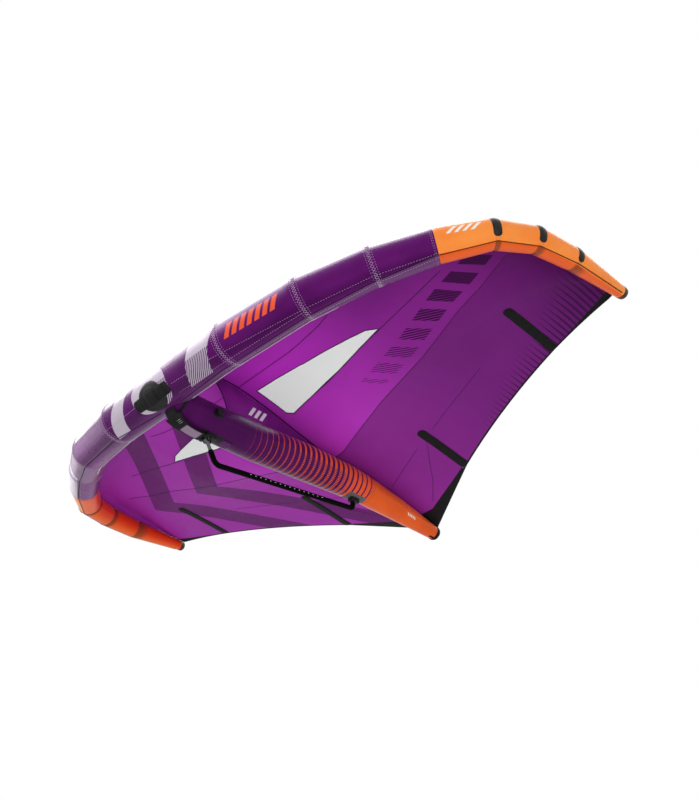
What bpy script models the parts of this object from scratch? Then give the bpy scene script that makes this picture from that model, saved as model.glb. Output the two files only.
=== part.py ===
"""A wingfoil wing: an inflated leading edge and strut, a canopy, and a half boom under the strut."""

import math

import bmesh
import bpy
from mathutils import Matrix, Vector

# Sizes are in metres. X runs out to the right tip, Y back to the tail and Z up.
# The first origin is under the middle of the leading edge, level with the strut;
# settle() then moves all to the middle of the boom's grip.

SEAT = 0.0003
SIDES = 36

# Leading edge: one entry for each seam between two panels, from the middle out to the tip.
LE_OUT = (0.374, 0.780, 1.061, 1.305, 1.490, 1.575, 1.609, 1.620)
LE_BACK = (0.000, 0.089, 0.221, 0.360, 0.506, 0.676, 0.889, 1.224)
LE_UP = (0.078, 0.151, 0.229, 0.275, 0.309, 0.334, 0.342, 0.360)
LE_RADIUS = (0.103, 0.097, 0.087, 0.076, 0.065, 0.0595, 0.052, 0.030)
LE_MIDDLE_RADIUS = 0.104
COLOUR_SEAM = 3
CASING_WALL = 0.0012
BLADDER_WALL = 0.001
BLADDER_END_SETBACK = 0.012
TIP_CAP_LENGTH = 0.028
TIP_CAP_SPIGOT = 0.009
SCUFF_SEAMS = (("inner", 4), ("middle", 5), ("outer", 6))
SCUFF_HALF_LENGTH = 0.021
SCUFF_THICKNESS = 0.0014
SCUFF_TURN_FROM = 120.0
SCUFF_TURN_TO = 230.0

# Inflation valve under the leading edge, with its round base and strap flap.
VALVE_OUT = -0.022
VALVE_TURN = 230.0
VALVE_BASE_RADIUS = 0.077
VALVE_BASE_THICKNESS = 0.0015
VALVE_BARREL_RADIUS = 0.025
VALVE_BARREL_WALL = 0.006
VALVE_BARREL_DEPTH = 0.022
VALVE_FLANGE_RADIUS = 0.040
VALVE_FLANGE_THICKNESS = 0.002
VALVE_PLUG_DEPTH = 0.012
FLAP_HALF_LENGTH = 0.118
FLAP_HALF_WIDTH = 0.029
FLAP_THICKNESS = 0.0015
FLAP_LIFT = 0.0004
FLAP_RAMP = 0.012
FLAP_HINGE_MARGIN = 0.004

# Strut: stations from its root under the leading edge to the tail.
STRUT_BACK = (0.000, 0.060, 0.160, 0.268, 0.500, 0.655, 0.814, 1.086, 1.231, 1.498, 1.765)
STRUT_UP = (0.036, 0.018, 0.005, 0.003, 0.012, 0.0265, 0.0395, 0.0525, 0.0515, 0.030, 0.001)
STRUT_RADIUS = (0.0615, 0.074, 0.082, 0.0865, 0.091, 0.0915, 0.0915, 0.0835, 0.0745, 0.0575, 0.0355)
STRUT_COLOUR_STATION = 8
STRUT_BLADDER_FRONT = 0.130
TAIL_CAP_LENGTH = 0.012
TAIL_CAP_SPIGOT = 0.009

# Valve on the strut's right side.
STRUT_VALVE_BACK = 0.226
STRUT_VALVE_BARREL_RADIUS = 0.015
STRUT_VALVE_BARREL_WALL = 0.0045
STRUT_VALVE_HEIGHT = 0.012
STRUT_VALVE_DEPTH = 0.016
STRUT_VALVE_FLANGE_RADIUS = 0.027
STRUT_VALVE_FLANGE_THICKNESS = 0.002
STRUT_CAP_RADIUS = 0.019
STRUT_CAP_THICKNESS = 0.006
STRUT_CAP_BOSS_RADIUS = 0.009
STRUT_CAP_BOSS_DEPTH = 0.004
STRUT_CAP_HINGE_REACH = 0.0215

# Canopy: the keel is its line over the strut.
CLOTH = 0.001
ATTACH_TURN = 60.0
KEEL_WEB_RISE = 0.178
WEB_HEAD_BACK = 0.225
WEB_FOOT_BACK = 0.335
WEB_FULL_BACK = 0.260
WEB_TAIL_BACK = 1.080
WEB_THICKNESS = 0.0015
WEB_EDGE_HOLLOW = 0.018
NOSE_ROWS = 4
WEB_ROWS = 5
CAMBER_SHARES = (1.0, 0.85, 0.62, 0.50, 0.38, 0.33, 0.27, 0.20, 0.0)
CHORD_CUTS = (4, 3, 2, 2, 2, 1, 1, 2)
TRAILING_OUT = (0.000, 0.431, 1.211, 1.573)
TRAILING_BACK = (1.787, 1.547, 1.283, 1.2295)
TRAILING_UP = (0.0374, 0.1447, 0.3041, 0.3652)
TRAILING_HOLLOW = (0.000, 0.0195, 0.005)
TRAILING_ARCH = (0.001, 0.006, 0.002)
TRAILING_REACH_SHARES = (0.0, 0.274, 0.509, 0.655, 0.770, 0.849, 0.909, 0.960, 1.0)
TAPE_WIDTH = 0.014
TAPE_THICKNESS = 0.0008
WINDOW_OUTLINE = (
    (0.060, 0.452), (0.200, 0.455), (0.350, 0.465), (0.500, 0.488), (0.630, 0.515), (0.715, 0.536),
    (0.768, 0.572), (0.630, 0.590), (0.400, 0.620), (0.200, 0.647), (0.092, 0.664), (0.062, 0.640),
)
TAIL_PANEL_OUTLINE = ((0.402, 1.539), (0.092, 1.653), (0.000, 1.640), (0.000, 1.900), (0.500, 1.900))
TIP_PANEL_OUTLINE = ((1.290, 1.258), (1.556, 1.196), (1.700, 1.190), (1.700, 1.400), (1.290, 1.400))
BATTEN_LENGTH = 0.340
BATTEN_WIDTH = 0.030
BATTEN_THICKNESS = 0.002
POCKET_MARGIN = 0.009
POCKET_WALL = 0.001
BATTEN_HEADS = (("inner", 0.431), ("outer", 1.211))

# Half boom, front fork and rear latch, in the middle plane.
GRIP_BACK = 0.745
PIVOT_BACK = 0.230
PIVOT_UP = -0.100
BOOM_CORNERS_BACK = (0.290, 1.149)
BOOM_CORNERS_UP = (-0.2063, -0.0892)
BOOM_CORNER_RADII = (0.040, 0.020)
BOOM_TOP = -0.0525
TUBE_RADIUS = 0.0102
TUBE_WALL = 0.0017
GRIP_THICKNESS = 0.0025
GRIP_RADIUS = TUBE_RADIUS + GRIP_THICKNESS
NECK_LENGTH = 0.050
NECK_RADIUS = 0.0080
SPIGOT_LENGTH = 0.022
PIN_RADIUS = 0.004
PIN_PLAY = 0.00005
PIN_HEAD_RADIUS = 0.0065
PIN_HEAD = 0.0018
EYE_RADIUS = 0.0105
EYE_HALF_WIDTH = 0.0105
EAR_THICKNESS = 0.005
EAR_PLAY = 0.0005
EAR_RADIUS = 0.0125
PAD_THICKNESS = 0.002
FRONT_PAD = (0.196, 0.300)
REAR_PAD = (1.100, 1.222)
PAD_HALF_WIDTH = 0.033
FORK_FRONT = 0.022
FORK_REAR = 0.034
FORK_FOOT = -0.1005
FORK_BEVEL = 0.003
SOCKET_HALF_WIDTH = 0.0155
SOCKET_FRONT = 0.019
SOCKET_REAR = 0.034
SOCKET_DEPTH = 0.022
SOCKET_PLAY = 0.0009
STUB_RADIUS = 0.0100
STUB_LENGTH = 0.016
COLLAR_THICKNESS = 0.004
BUTTON_RADIUS = 0.0055
BUTTON_LENGTH = 0.009
BUTTON_STANDS_OUT = 0.003
BUTTON_BORE_DEPTH = 0.017
SPRING_RADIUS = 0.0040
SPRING_WIRE = 0.0007
SPRING_TURNS = 4

# Handle strap under the strut's root.
HANDLE_BACK = (0.016, 0.034, 0.066, 0.100, 0.130, 0.165, 0.2045)
HANDLE_UP = (-0.0365, -0.0600, -0.0790, -0.0910, -0.0970, -0.0995, -0.0975)
HANDLE_WIDTH = 0.066
HANDLE_THICKNESS = 0.0025
HANDLE_SLEEVE = (0.036, 0.101)
HANDLE_SLEEVE_HALF_WIDTHS = (0.050, 0.034)
HANDLE_SLEEVE_THICKNESS = 0.0016

# Bores, worked out from the walls round them.
VALVE_BORE_RADIUS = VALVE_BARREL_RADIUS - VALVE_BARREL_WALL
STRUT_VALVE_BORE_RADIUS = STRUT_VALVE_BARREL_RADIUS - STRUT_VALVE_BARREL_WALL

FINISHES = {
    "casing_purple": ((0.115, 0.020, 0.150), 0.45, 0.0),
    "casing_orange": ((0.900, 0.190, 0.025), 0.45, 0.0),
    "bladder_film": ((0.750, 0.740, 0.700), 0.30, 0.0),
    "canopy_cloth": ((0.300, 0.030, 0.330), 0.40, 0.0),
    "window_film": ((0.800, 0.800, 0.800), 0.15, 0.0),
    "black_webbing": ((0.012, 0.012, 0.013), 0.70, 0.0),
    "black_plastic": ((0.018, 0.018, 0.020), 0.40, 0.0),
    "grip_foam": ((0.010, 0.010, 0.011), 0.80, 0.0),
    "anodised_tube": ((0.120, 0.120, 0.125), 0.30, 1.0),
    "steel": ((0.600, 0.600, 0.620), 0.25, 1.0),
    "batten_fibre": ((0.700, 0.680, 0.600), 0.50, 0.0),
}


def finish(name):
    """The named material, made once."""
    material = bpy.data.materials.get(name)
    if material is None:
        colour, roughness, metallic = FINISHES[name]
        material = bpy.data.materials.new(name)
        material.use_nodes = True
        material.diffuse_color = (*colour, 1.0)
        shader = material.node_tree.nodes["Principled BSDF"]
        shader.inputs["Base Color"].default_value = (*colour, 1.0)
        shader.inputs["Roughness"].default_value = roughness
        shader.inputs["Metallic"].default_value = metallic
    return material


def face_out(bm):
    """Turns all faces of a closed bmesh outward."""
    bm.normal_update()
    bmesh.ops.recalc_face_normals(bm, faces=bm.faces)
    if bm.calc_volume(signed=True) < 0:
        bmesh.ops.reverse_faces(bm, faces=bm.faces)


def make(name, bm, material=None):
    """A scene object from a bmesh."""
    mesh = bpy.data.meshes.new(name)
    bm.to_mesh(mesh)
    bm.free()
    made = bpy.data.objects.new(name, mesh)
    bpy.context.scene.collection.objects.link(made)
    if material:
        mesh.materials.append(finish(material))
    return made


def bake(target):
    """Keeps what the modifiers make as the object's own mesh."""
    graph = bpy.context.evaluated_depsgraph_get()
    mesh = bpy.data.meshes.new_from_object(target.evaluated_get(graph))
    worn = target.data
    target.modifiers.clear()
    target.data = mesh
    bpy.data.meshes.remove(worn)
    return target


def combine(target, tool, operation="DIFFERENCE"):
    """Cuts, joins or intersects the target with the tool, which is used up."""
    modifier = target.modifiers.new(operation.lower(), "BOOLEAN")
    modifier.solver = "EXACT"
    modifier.operation = operation
    modifier.object = tool
    bake(target)
    bpy.data.objects.remove(tool)
    return target


def soften(target, width, segments=2):
    """Rounds the object's sharp edges."""
    modifier = target.modifiers.new("rounded", "BEVEL")
    modifier.width = width
    modifier.segments = segments
    modifier.limit_method = "ANGLE"
    modifier.angle_limit = math.radians(40)
    return bake(target)


def stand(target, place, along):
    """Moves the object from the origin to place, with its Z turned to lie along the given direction."""
    turn = along.normalized().to_track_quat("Z", "Y").to_matrix().to_4x4()
    target.data.transform(Matrix.Translation(place) @ turn)
    return target


def mitred_rings(path, radii, reference, sides=SIDES):
    """Rings of points round a path, each in the plane that halves its corner."""
    ways = [(b - a).normalized() for a, b in zip(path, path[1:])]
    rings = []
    for i, (centre, radius) in enumerate(zip(path, radii)):
        into = ways[max(i - 1, 0)]
        out = ways[min(i, len(ways) - 1)]
        normal = (into + out).normalized()
        bend = out - into
        stretch = 1 / normal.dot(out) - 1
        side = reference.cross(normal).normalized()
        top = normal.cross(side)
        ring = []
        for k in range(sides):
            turn = math.tau * k / sides
            spoke = side * math.cos(turn) + top * math.sin(turn)
            if bend.length > SEAT:
                across = bend.normalized()
                spoke += across * spoke.dot(across) * stretch
            ring.append(centre + spoke * radius)
        rings.append(ring)
    return rings


def between(rings, place):
    """The ring at a whole or part step along a list of rings."""
    step = min(int(place), len(rings) - 2)
    share = place - step
    return [a.lerp(b, share) for a, b in zip(rings[step], rings[step + 1])]


def middle_of(ring):
    return sum(ring, Vector()) / len(ring)


def drawn_in(rings, start, end):
    """The same rings with the first and last moved inward along the tube."""
    moved = [list(ring) for ring in rings]
    for index, neighbour, amount in ((0, 1, start), (-1, -2, end)):
        span = (middle_of(rings[neighbour]) - middle_of(rings[index])).length
        share = amount / span
        moved[index] = [a.lerp(b, share) for a, b in zip(rings[index], rings[neighbour])]
    return moved


def skin(bm, rings):
    """Faces between one ring and the next; it gives back the rings of vertices."""
    rows = [[bm.verts.new(point) for point in ring] for ring in rings]
    count = len(rows[0])
    for a, b in zip(rows, rows[1:]):
        for k in range(count):
            bm.faces.new((a[k], a[(k + 1) % count], b[(k + 1) % count], b[k]))
    return rows


def shell(name, outer, inner, material=None):
    """A tube wall that is open at both ends."""
    bm = bmesh.new()
    out_rows = skin(bm, outer)
    in_rows = skin(bm, inner)
    count = len(out_rows[0])
    for end in (0, -1):
        a, b = out_rows[end], in_rows[end]
        for k in range(count):
            bm.faces.new((a[k], a[(k + 1) % count], b[(k + 1) % count], b[k]))
    face_out(bm)
    return make(name, bm, material)


def rod(name, rings, material=None):
    """A solid tube with flat ends."""
    bm = bmesh.new()
    rows = skin(bm, rings)
    bm.faces.new(rows[0])
    bm.faces.new(rows[-1])
    face_out(bm)
    return make(name, bm, material)


def bag(name, outer, inner, mouth, material):
    """A closed hollow tube on every third facet line, opened by a mouth cut through its wall."""
    target = rod(name, [ring[::3] for ring in outer], material)
    hollow = rod(name + "_hollow", [ring[::3] for ring in inner])
    combine(target, hollow)
    return combine(target, mouth)


def turned(name, profile, material=None, sides=24, ring=False):
    """Turns a profile of (radius, height) points about Z. A ring's profile closes on itself."""
    bm = bmesh.new()
    rows = []
    for radius, height in profile:
        if radius < SEAT:
            rows.append([bm.verts.new((0, 0, height))] * sides)
            continue
        row = []
        for k in range(sides):
            turn = math.tau * k / sides
            row.append(bm.verts.new((radius * math.cos(turn), radius * math.sin(turn), height)))
        rows.append(row)
    pairs = list(zip(rows, rows[1:]))
    if ring:
        pairs.append((rows[-1], rows[0]))
    for a, b in pairs:
        if a[0] is a[1] and b[0] is b[1]:
            continue
        for k in range(sides):
            corners = (a[k], a[(k + 1) % sides], b[(k + 1) % sides], b[k])
            bm.faces.new(list(dict.fromkeys(corners)))
    face_out(bm)
    return make(name, bm, material)


def pillar(name, radius, low, high, sides=24):
    """A plain cylinder about Z between two heights."""
    return turned(name, ((0, low), (radius, low), (radius, high), (0, high)), sides=sides)


def block(name, low, high, material=None):
    """A box between two corners."""
    bm = bmesh.new()
    size = Vector(high) - Vector(low)
    centre = (Vector(high) + Vector(low)) / 2
    fit = Matrix.Translation(centre) @ Matrix.Diagonal((*size, 1))
    bmesh.ops.create_cube(bm, size=1.0, matrix=fit)
    return make(name, bm, material)


def prism(name, outline, low, high, upright=Matrix.Identity(4), material=None):
    """An outline of (x, y) points drawn out from low to high, then turned into place."""
    bm = bmesh.new()
    rows = [[bm.verts.new((x, y, z)) for x, y in outline] for z in (low, high)]
    count = len(outline)
    for k in range(count):
        bm.faces.new((rows[0][k], rows[0][(k + 1) % count], rows[1][(k + 1) % count], rows[1][k]))
    bm.faces.new(rows[0])
    bm.faces.new(rows[1])
    face_out(bm)
    bmesh.ops.transform(bm, matrix=upright, verts=bm.verts)
    return make(name, bm, material)


def side_plate(name, outline, thickness, material=None):
    """A plate in the middle plane, from an outline of (back, up) points."""
    upright = Matrix(((0, 0, 1, 0), (1, 0, 0, 0), (0, 1, 0, 0), (0, 0, 0, 1)))
    return prism(name, outline, -thickness / 2, thickness / 2, upright, material)


def mirrored(point):
    return Vector((-point.x, point.y, point.z))


# Leading edge


def leading_edge_rings(offset=0.0):
    """Mitred rings from the left tip to the right, grown by offset."""
    right = [Vector(point) for point in zip(LE_OUT, LE_BACK, LE_UP)]
    left = [mirrored(point) for point in reversed(right)]
    middle = Vector((0, LE_BACK[0], LE_UP[0]))
    radii = (*reversed(LE_RADIUS), LE_MIDDLE_RADIUS, *LE_RADIUS)
    return mitred_rings(left + [middle] + right, [r + offset for r in radii], Vector((0, 0, 1)))


def seam_place(seam, side):
    """Where a seam lies in the list of rings; side is 1 for the right half and -1 for the left."""
    return len(LE_OUT) + side * (seam + 1)


def middle_place(out):
    """The place in the list of rings of a point of the middle panel."""
    return len(LE_OUT) + out / LE_OUT[0]


def half_names():
    return (("right", 1), ("left", -1))


def build_casings(valve_hole):
    outer = leading_edge_rings()
    inner = leading_edge_rings(-CASING_WALL)
    first, last = seam_place(COLOUR_SEAM, -1), seam_place(COLOUR_SEAM, 1)
    span = slice(first, last + 1)
    half = SEAT / 2
    centre = shell(
        "le_casing_centre",
        drawn_in(outer[span], half, half),
        drawn_in(inner[span], half, half),
        "casing_purple",
    )
    combine(centre, valve_hole)
    for half_name, span, ends in (
        ("left", slice(0, first + 1), (0.0, half)),
        ("right", slice(last, None), (half, 0.0)),
    ):
        shell(
            "le_tip_casing_" + half_name,
            drawn_in(outer[span], *ends),
            drawn_in(inner[span], *ends),
            "casing_orange",
        )


def build_bladder(valve_hole):
    depth = CASING_WALL + SEAT
    outer = drawn_in(leading_edge_rings(-depth), BLADDER_END_SETBACK, BLADDER_END_SETBACK)
    inner = leading_edge_rings(-depth - BLADDER_WALL)
    setback = BLADDER_END_SETBACK + BLADDER_WALL
    bag("le_bladder", outer, drawn_in(inner, setback, setback), valve_hole, "bladder_film")


def end_cap(name, radius, length, spigot_length, end, along):
    """A plug with a round-edged head, seated in the end of a casing."""
    spigot = radius - CASING_WALL - SEAT
    profile = (
        (0, -spigot_length),
        (spigot, -spigot_length),
        (spigot, SEAT),
        (radius, SEAT),
        (radius, length * 0.45),
        (radius * 0.93, length * 0.82),
        (radius * 0.78, length),
        (0, length),
    )
    cap = turned(name, profile, "black_plastic", SIDES)
    return stand(cap, end, along)


def build_tip_caps():
    rings = leading_edge_rings()
    for half_name, side in half_names():
        end = middle_of(rings[-1 if side > 0 else 0])
        before = middle_of(rings[-2 if side > 0 else 1])
        end_cap("le_tip_cap_" + half_name, LE_RADIUS[-1], TIP_CAP_LENGTH, TIP_CAP_SPIGOT, end, end - before)


def build_scuff_patches():
    low = leading_edge_rings(SEAT)
    high = leading_edge_rings(SEAT + SCUFF_THICKNESS)
    start = round(SCUFF_TURN_FROM / 360 * SIDES)
    stop = round(SCUFF_TURN_TO / 360 * SIDES)
    for half_name, side in half_names():
        for patch_name, seam in SCUFF_SEAMS:
            place = seam_place(seam, side)
            centre = middle_of(low[place])
            steps = []
            for way in (-1, 1):
                reach = (middle_of(low[place + way]) - centre).length
                steps.append(way * SCUFF_HALF_LENGTH / reach)
            places = (place + steps[0], place, place + steps[1])
            grids = [[between(rings, at)[start : stop + 1] for at in places] for rings in (low, high)]
            slab(f"le_scuff_patch_{patch_name}_{half_name}", *grids, "black_webbing")


def slab(name, low, high, material=None):
    """A closed sheet between two grids of points of the same shape."""
    bm = bmesh.new()
    layers = [[[bm.verts.new(point) for point in row] for row in grid] for grid in (low, high)]
    for grid in layers:
        for a, b in zip(grid, grid[1:]):
            for k in range(len(a) - 1):
                bm.faces.new((a[k], a[k + 1], b[k + 1]))
                bm.faces.new((a[k], b[k + 1], b[k]))
    borders = []
    for grid in layers:
        rim = list(grid[0]) + [row[-1] for row in grid[1:]]
        rim += list(reversed(grid[-1][:-1])) + [row[0] for row in reversed(grid[1:-1])]
        borders.append(rim)
    count = len(borders[0])
    for k in range(count):
        after = (k + 1) % count
        bm.faces.new((borders[0][k], borders[0][after], borders[1][after], borders[1][k]))
    face_out(bm)
    return make(name, bm, material)


# Leading edge valve


def valve_frame():
    """The valve's place on the casing and the way it points."""
    turn = math.radians(VALVE_TURN)
    way = Vector((0, math.cos(turn), math.sin(turn)))
    return Vector((VALVE_OUT, LE_BACK[0], LE_UP[0])) + way * LE_MIDDLE_RADIUS, way


def middle_skin(name, low, high, material=None):
    """A wall round the middle panel between two heights over the casing."""
    reach = FLAP_HALF_LENGTH + VALVE_BASE_RADIUS
    places = [middle_place(VALVE_OUT + side * reach) for side in (-1, 0, 1)]
    layers = []
    for offset in (high, low):
        rings = leading_edge_rings(offset)
        layers.append([between(rings, place) for place in places])
    return shell(name, *layers, material)


def over_valve(tool):
    return stand(tool, *valve_frame())


def valve_strip(name, half_length, half_width, low, high):
    """A box on the valve's axis, long in X."""
    place, way = valve_frame()
    tool = block(name, (-half_length, -half_width, low), (half_length, half_width, high))
    turn = Matrix((Vector((1, 0, 0)), way.cross(Vector((1, 0, 0))), way)).transposed().to_4x4()
    tool.data.transform(Matrix.Translation(place) @ turn)
    return tool


def valve_hole():
    radius = VALVE_BARREL_RADIUS + SEAT
    return over_valve(pillar("hole", radius, -VALVE_BARREL_DEPTH, VALVE_BARREL_DEPTH))


def build_valve():
    depth = 2 * VALVE_BARREL_RADIUS
    base_top = SEAT + VALVE_BASE_THICKNESS
    base = middle_skin("le_valve_base", SEAT, base_top, "black_webbing")
    combine(base, over_valve(pillar("round", VALVE_BASE_RADIUS, -depth, depth, 48)), "INTERSECT")
    combine(base, valve_hole())
    combine(base, strut_core(SEAT))
    barrel = ((VALVE_BORE_RADIUS, -VALVE_BARREL_DEPTH), (VALVE_BARREL_RADIUS, -VALVE_BARREL_DEPTH))
    barrel += ((VALVE_BARREL_RADIUS, base_top), (VALVE_BORE_RADIUS, base_top))
    body = over_valve(turned("le_valve_body", barrel, "black_plastic", ring=True))
    # The bladder has a third of the skin's facets, so its flats dip lower.
    dip = LE_MIDDLE_RADIUS * (1 - math.cos(1.5 * math.tau / SIDES))
    under = -(CASING_WALL + 2 * SEAT + BLADDER_WALL + dip)
    flange = middle_skin("flange", under - VALVE_FLANGE_THICKNESS, under)
    combine(flange, over_valve(pillar("round", VALVE_FLANGE_RADIUS, -depth, depth)), "INTERSECT")
    bore = (VALVE_BORE_RADIUS + VALVE_BARREL_RADIUS) / 2
    combine(flange, over_valve(pillar("bore", bore, -depth, depth)))
    combine(body, flange, "UNION")
    plug = VALVE_BORE_RADIUS - SEAT
    groove = plug * 0.72
    profile = ((0, -VALVE_PLUG_DEPTH), (plug, -VALVE_PLUG_DEPTH), (plug, base_top))
    profile += ((groove, base_top), (groove * 0.9, -VALVE_PLUG_DEPTH / 3), (0, -VALVE_PLUG_DEPTH / 3))
    over_valve(turned("le_valve_plug", profile, "black_plastic"))
    crown = LE_MIDDLE_RADIUS - math.sqrt(LE_MIDDLE_RADIUS**2 - VALVE_BARREL_RADIUS**2)
    build_flap(crown)


def build_flap(crown):
    """The strap over the valve: on the casing at its ends, over the round base and the barrel between."""
    low, high = SEAT, SEAT + VALVE_BASE_THICKNESS + FLAP_LIFT
    steps = ((FLAP_HALF_LENGTH, low), (VALVE_BASE_RADIUS + FLAP_RAMP, low), (VALVE_BASE_RADIUS, high))
    steps += ((VALVE_BARREL_RADIUS + FLAP_RAMP, high), (VALVE_BARREL_RADIUS, high + crown))
    steps += tuple((-out, height) for out, height in reversed(steps))
    layers = []
    for thickness in (FLAP_THICKNESS, 0.0):
        layer_rings = []
        for out, height in steps:
            rings = leading_edge_rings(height + thickness)
            layer_rings.append(between(rings, middle_place(VALVE_OUT - out)))
        layers.append(layer_rings)
    flap = shell("le_valve_flap", *layers, "black_webbing")
    reach = 2 * FLAP_HALF_LENGTH
    combine(flap, valve_strip("strip", reach, FLAP_HALF_WIDTH, -high - FLAP_HALF_LENGTH / 2, reach), "INTERSECT")


# Strut


def strut_rings(offset=0.0):
    path = [Vector((0, back, up)) for back, up in zip(STRUT_BACK, STRUT_UP)]
    return mitred_rings(path, [r + offset for r in STRUT_RADIUS], Vector((1, 0, 0)))


def strut_line(rings, turn, back):
    """The point of the strut's wall at an angle from its top, at a distance back."""
    index = round(turn / 360 * SIDES)
    line = [ring[index] for ring in rings]
    for a, b in zip(line, line[1:]):
        if back <= b.y or b is line[-1]:
            return a.lerp(b, (back - a.y) / (b.y - a.y))
    return line[-1]


def strut_place(rings, back):
    """The place in the list of rings whose middle is at a distance back."""
    for index in range(len(rings) - 1):
        a, b = STRUT_BACK[index], STRUT_BACK[index + 1]
        if back <= b:
            return index + (back - a) / (b - a)
    return len(rings) - 1


def strut_valve_frame():
    rings = strut_rings()
    return strut_line(rings, 90, STRUT_VALVE_BACK), Vector((1, 0, 0))


def strut_valve_hole():
    hole = pillar("hole", STRUT_VALVE_BARREL_RADIUS + SEAT, -STRUT_VALVE_DEPTH, STRUT_VALVE_DEPTH)
    return stand(hole, *strut_valve_frame())


def leading_edge_core(offset):
    """The middle of the leading edge as a solid, to cut what is sewn on to it."""
    rings = leading_edge_rings(offset)
    reach = len(LE_OUT)
    return rod("core", [between(rings, reach + step) for step in (-1, 0, 1)])


def build_strut():
    outer = strut_rings()
    inner = strut_rings(-CASING_WALL)
    joint = STRUT_COLOUR_STATION
    front = shell(
        "strut_casing_front",
        drawn_in(outer[: joint + 1], 0.0, SEAT / 2),
        drawn_in(inner[: joint + 1], 0.0, SEAT / 2),
        "casing_purple",
    )
    combine(front, leading_edge_core(SEAT))
    combine(front, strut_valve_hole())
    shell(
        "strut_casing_tail",
        drawn_in(outer[joint:], SEAT / 2, 0.0),
        drawn_in(inner[joint:], SEAT / 2, 0.0),
        "casing_orange",
    )
    depth = CASING_WALL + SEAT
    outer = strut_rings(-depth)
    inner = strut_rings(-depth - BLADDER_WALL)
    start = strut_place(outer, STRUT_BLADDER_FRONT)
    after = int(start) + 1
    outer = [between(outer, start)] + outer[after:]
    inner = [between(inner, start)] + inner[after:]
    setback = BLADDER_END_SETBACK
    outer = drawn_in(outer, 0.0, setback)
    inner = drawn_in(inner, BLADDER_WALL, setback + BLADDER_WALL)
    bag("strut_bladder", outer, inner, strut_valve_hole(), "bladder_film")


def build_tail_cap():
    rings = strut_rings()
    end, before = middle_of(rings[-1]), middle_of(rings[-2])
    end_cap("strut_tail_cap", STRUT_RADIUS[-1], TAIL_CAP_LENGTH, TAIL_CAP_SPIGOT, end, end - before)


def build_strut_valve():
    place, way = strut_valve_frame()
    rings = [strut_rings(offset) for offset in (SEAT + STRUT_VALVE_FLANGE_THICKNESS, SEAT)]
    reach = 2 * STRUT_VALVE_FLANGE_RADIUS
    places = [strut_place(rings[0], STRUT_VALVE_BACK + side * reach) for side in (-1, 1)]
    places.insert(1, 3)
    flange = shell("flange", *[[between(layer, at) for at in sorted(places)] for layer in rings])
    reach = STRUT_VALVE_FLANGE_RADIUS
    combine(flange, stand(pillar("round", reach, -reach, reach), place, way), "INTERSECT")
    middle = (STRUT_VALVE_BORE_RADIUS + STRUT_VALVE_BARREL_RADIUS) / 2
    combine(flange, stand(pillar("bore", middle, -reach, reach), place, way))
    low, high = -STRUT_VALVE_DEPTH, STRUT_VALVE_HEIGHT
    bore, wall = STRUT_VALVE_BORE_RADIUS, STRUT_VALVE_BARREL_RADIUS
    body = turned("strut_valve_body", ((bore, low), (wall, low), (wall, high), (bore, high)), "black_plastic", ring=True)
    stand(body, place, way)
    combine(body, flange, "UNION")
    post = block("post", (-0.003, STRUT_CAP_HINGE_REACH - 0.004, -0.001), (0.003, STRUT_CAP_HINGE_REACH, high))
    combine(body, stand_on_strut(post), "UNION")
    build_strut_cap(high + SEAT)


def stand_on_strut(tool):
    """Puts a tool that was made about Z with its Y up on to the strut valve's axis."""
    place, way = strut_valve_frame()
    turn = Matrix((Vector((0, 1, 0)), Vector((0, 0, 1)), way)).transposed().to_4x4()
    tool.data.transform(Matrix.Translation(place) @ turn)
    return tool


def build_strut_cap(low):
    high = low + STRUT_CAP_THICKNESS
    boss, depth = STRUT_CAP_BOSS_RADIUS, STRUT_CAP_BOSS_DEPTH
    profile = ((0, low - depth), (boss, low - depth), (boss, low), (STRUT_CAP_RADIUS, low))
    profile += ((STRUT_CAP_RADIUS, high - 0.0015), (STRUT_CAP_RADIUS - 0.0015, high), (0, high))
    cap = turned("strut_valve_cap", profile, "black_plastic")
    tab = block("tab", (-0.004, 0, low), (0.004, STRUT_CAP_HINGE_REACH, low + 0.002))
    combine(cap, tab, "UNION")
    stand_on_strut(cap)


# Canopy


def keel_height(rings, back, front):
    """Height of the canopy's underside over the strut, at a distance back."""
    if back < WEB_FULL_BACK:
        share = (back - front.y) / (WEB_FULL_BACK - front.y)
        crest = keel_height(rings, WEB_FULL_BACK, front)
        return front.z + (crest - front.z) * math.sin(share * math.pi / 2)
    share = min((back - WEB_FULL_BACK) / (WEB_TAIL_BACK - WEB_FULL_BACK), 1.0)
    return strut_top(rings, back) + SEAT + KEEL_WEB_RISE * (1 + math.cos(math.pi * share)) / 2


def strut_top(rings, back):
    return strut_line(rings, 0, back).z


def trailing_point(out):
    """The trailing edge's point at a distance out from the keel."""
    for k in range(len(TRAILING_OUT) - 1):
        if out <= TRAILING_OUT[k + 1] or k == len(TRAILING_OUT) - 2:
            break
    share = (out - TRAILING_OUT[k]) / (TRAILING_OUT[k + 1] - TRAILING_OUT[k])
    bow = 4 * share * (1 - share)
    back = TRAILING_BACK[k] + (TRAILING_BACK[k + 1] - TRAILING_BACK[k]) * share
    up = TRAILING_UP[k] + (TRAILING_UP[k + 1] - TRAILING_UP[k]) * share
    return Vector((out, back - TRAILING_HOLLOW[k] * bow, up + TRAILING_ARCH[k] * bow))


def attach_points():
    """Where each seam of the right half carries the canopy, from the middle out."""
    index = round(ATTACH_TURN / 360 * SIDES)
    points = []
    for ring in leading_edge_rings()[len(LE_OUT) :]:
        centre = middle_of(ring)
        spoke = ring[index] - centre
        points.append(ring[index] + spoke.normalized() * SEAT)
    return points


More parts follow.
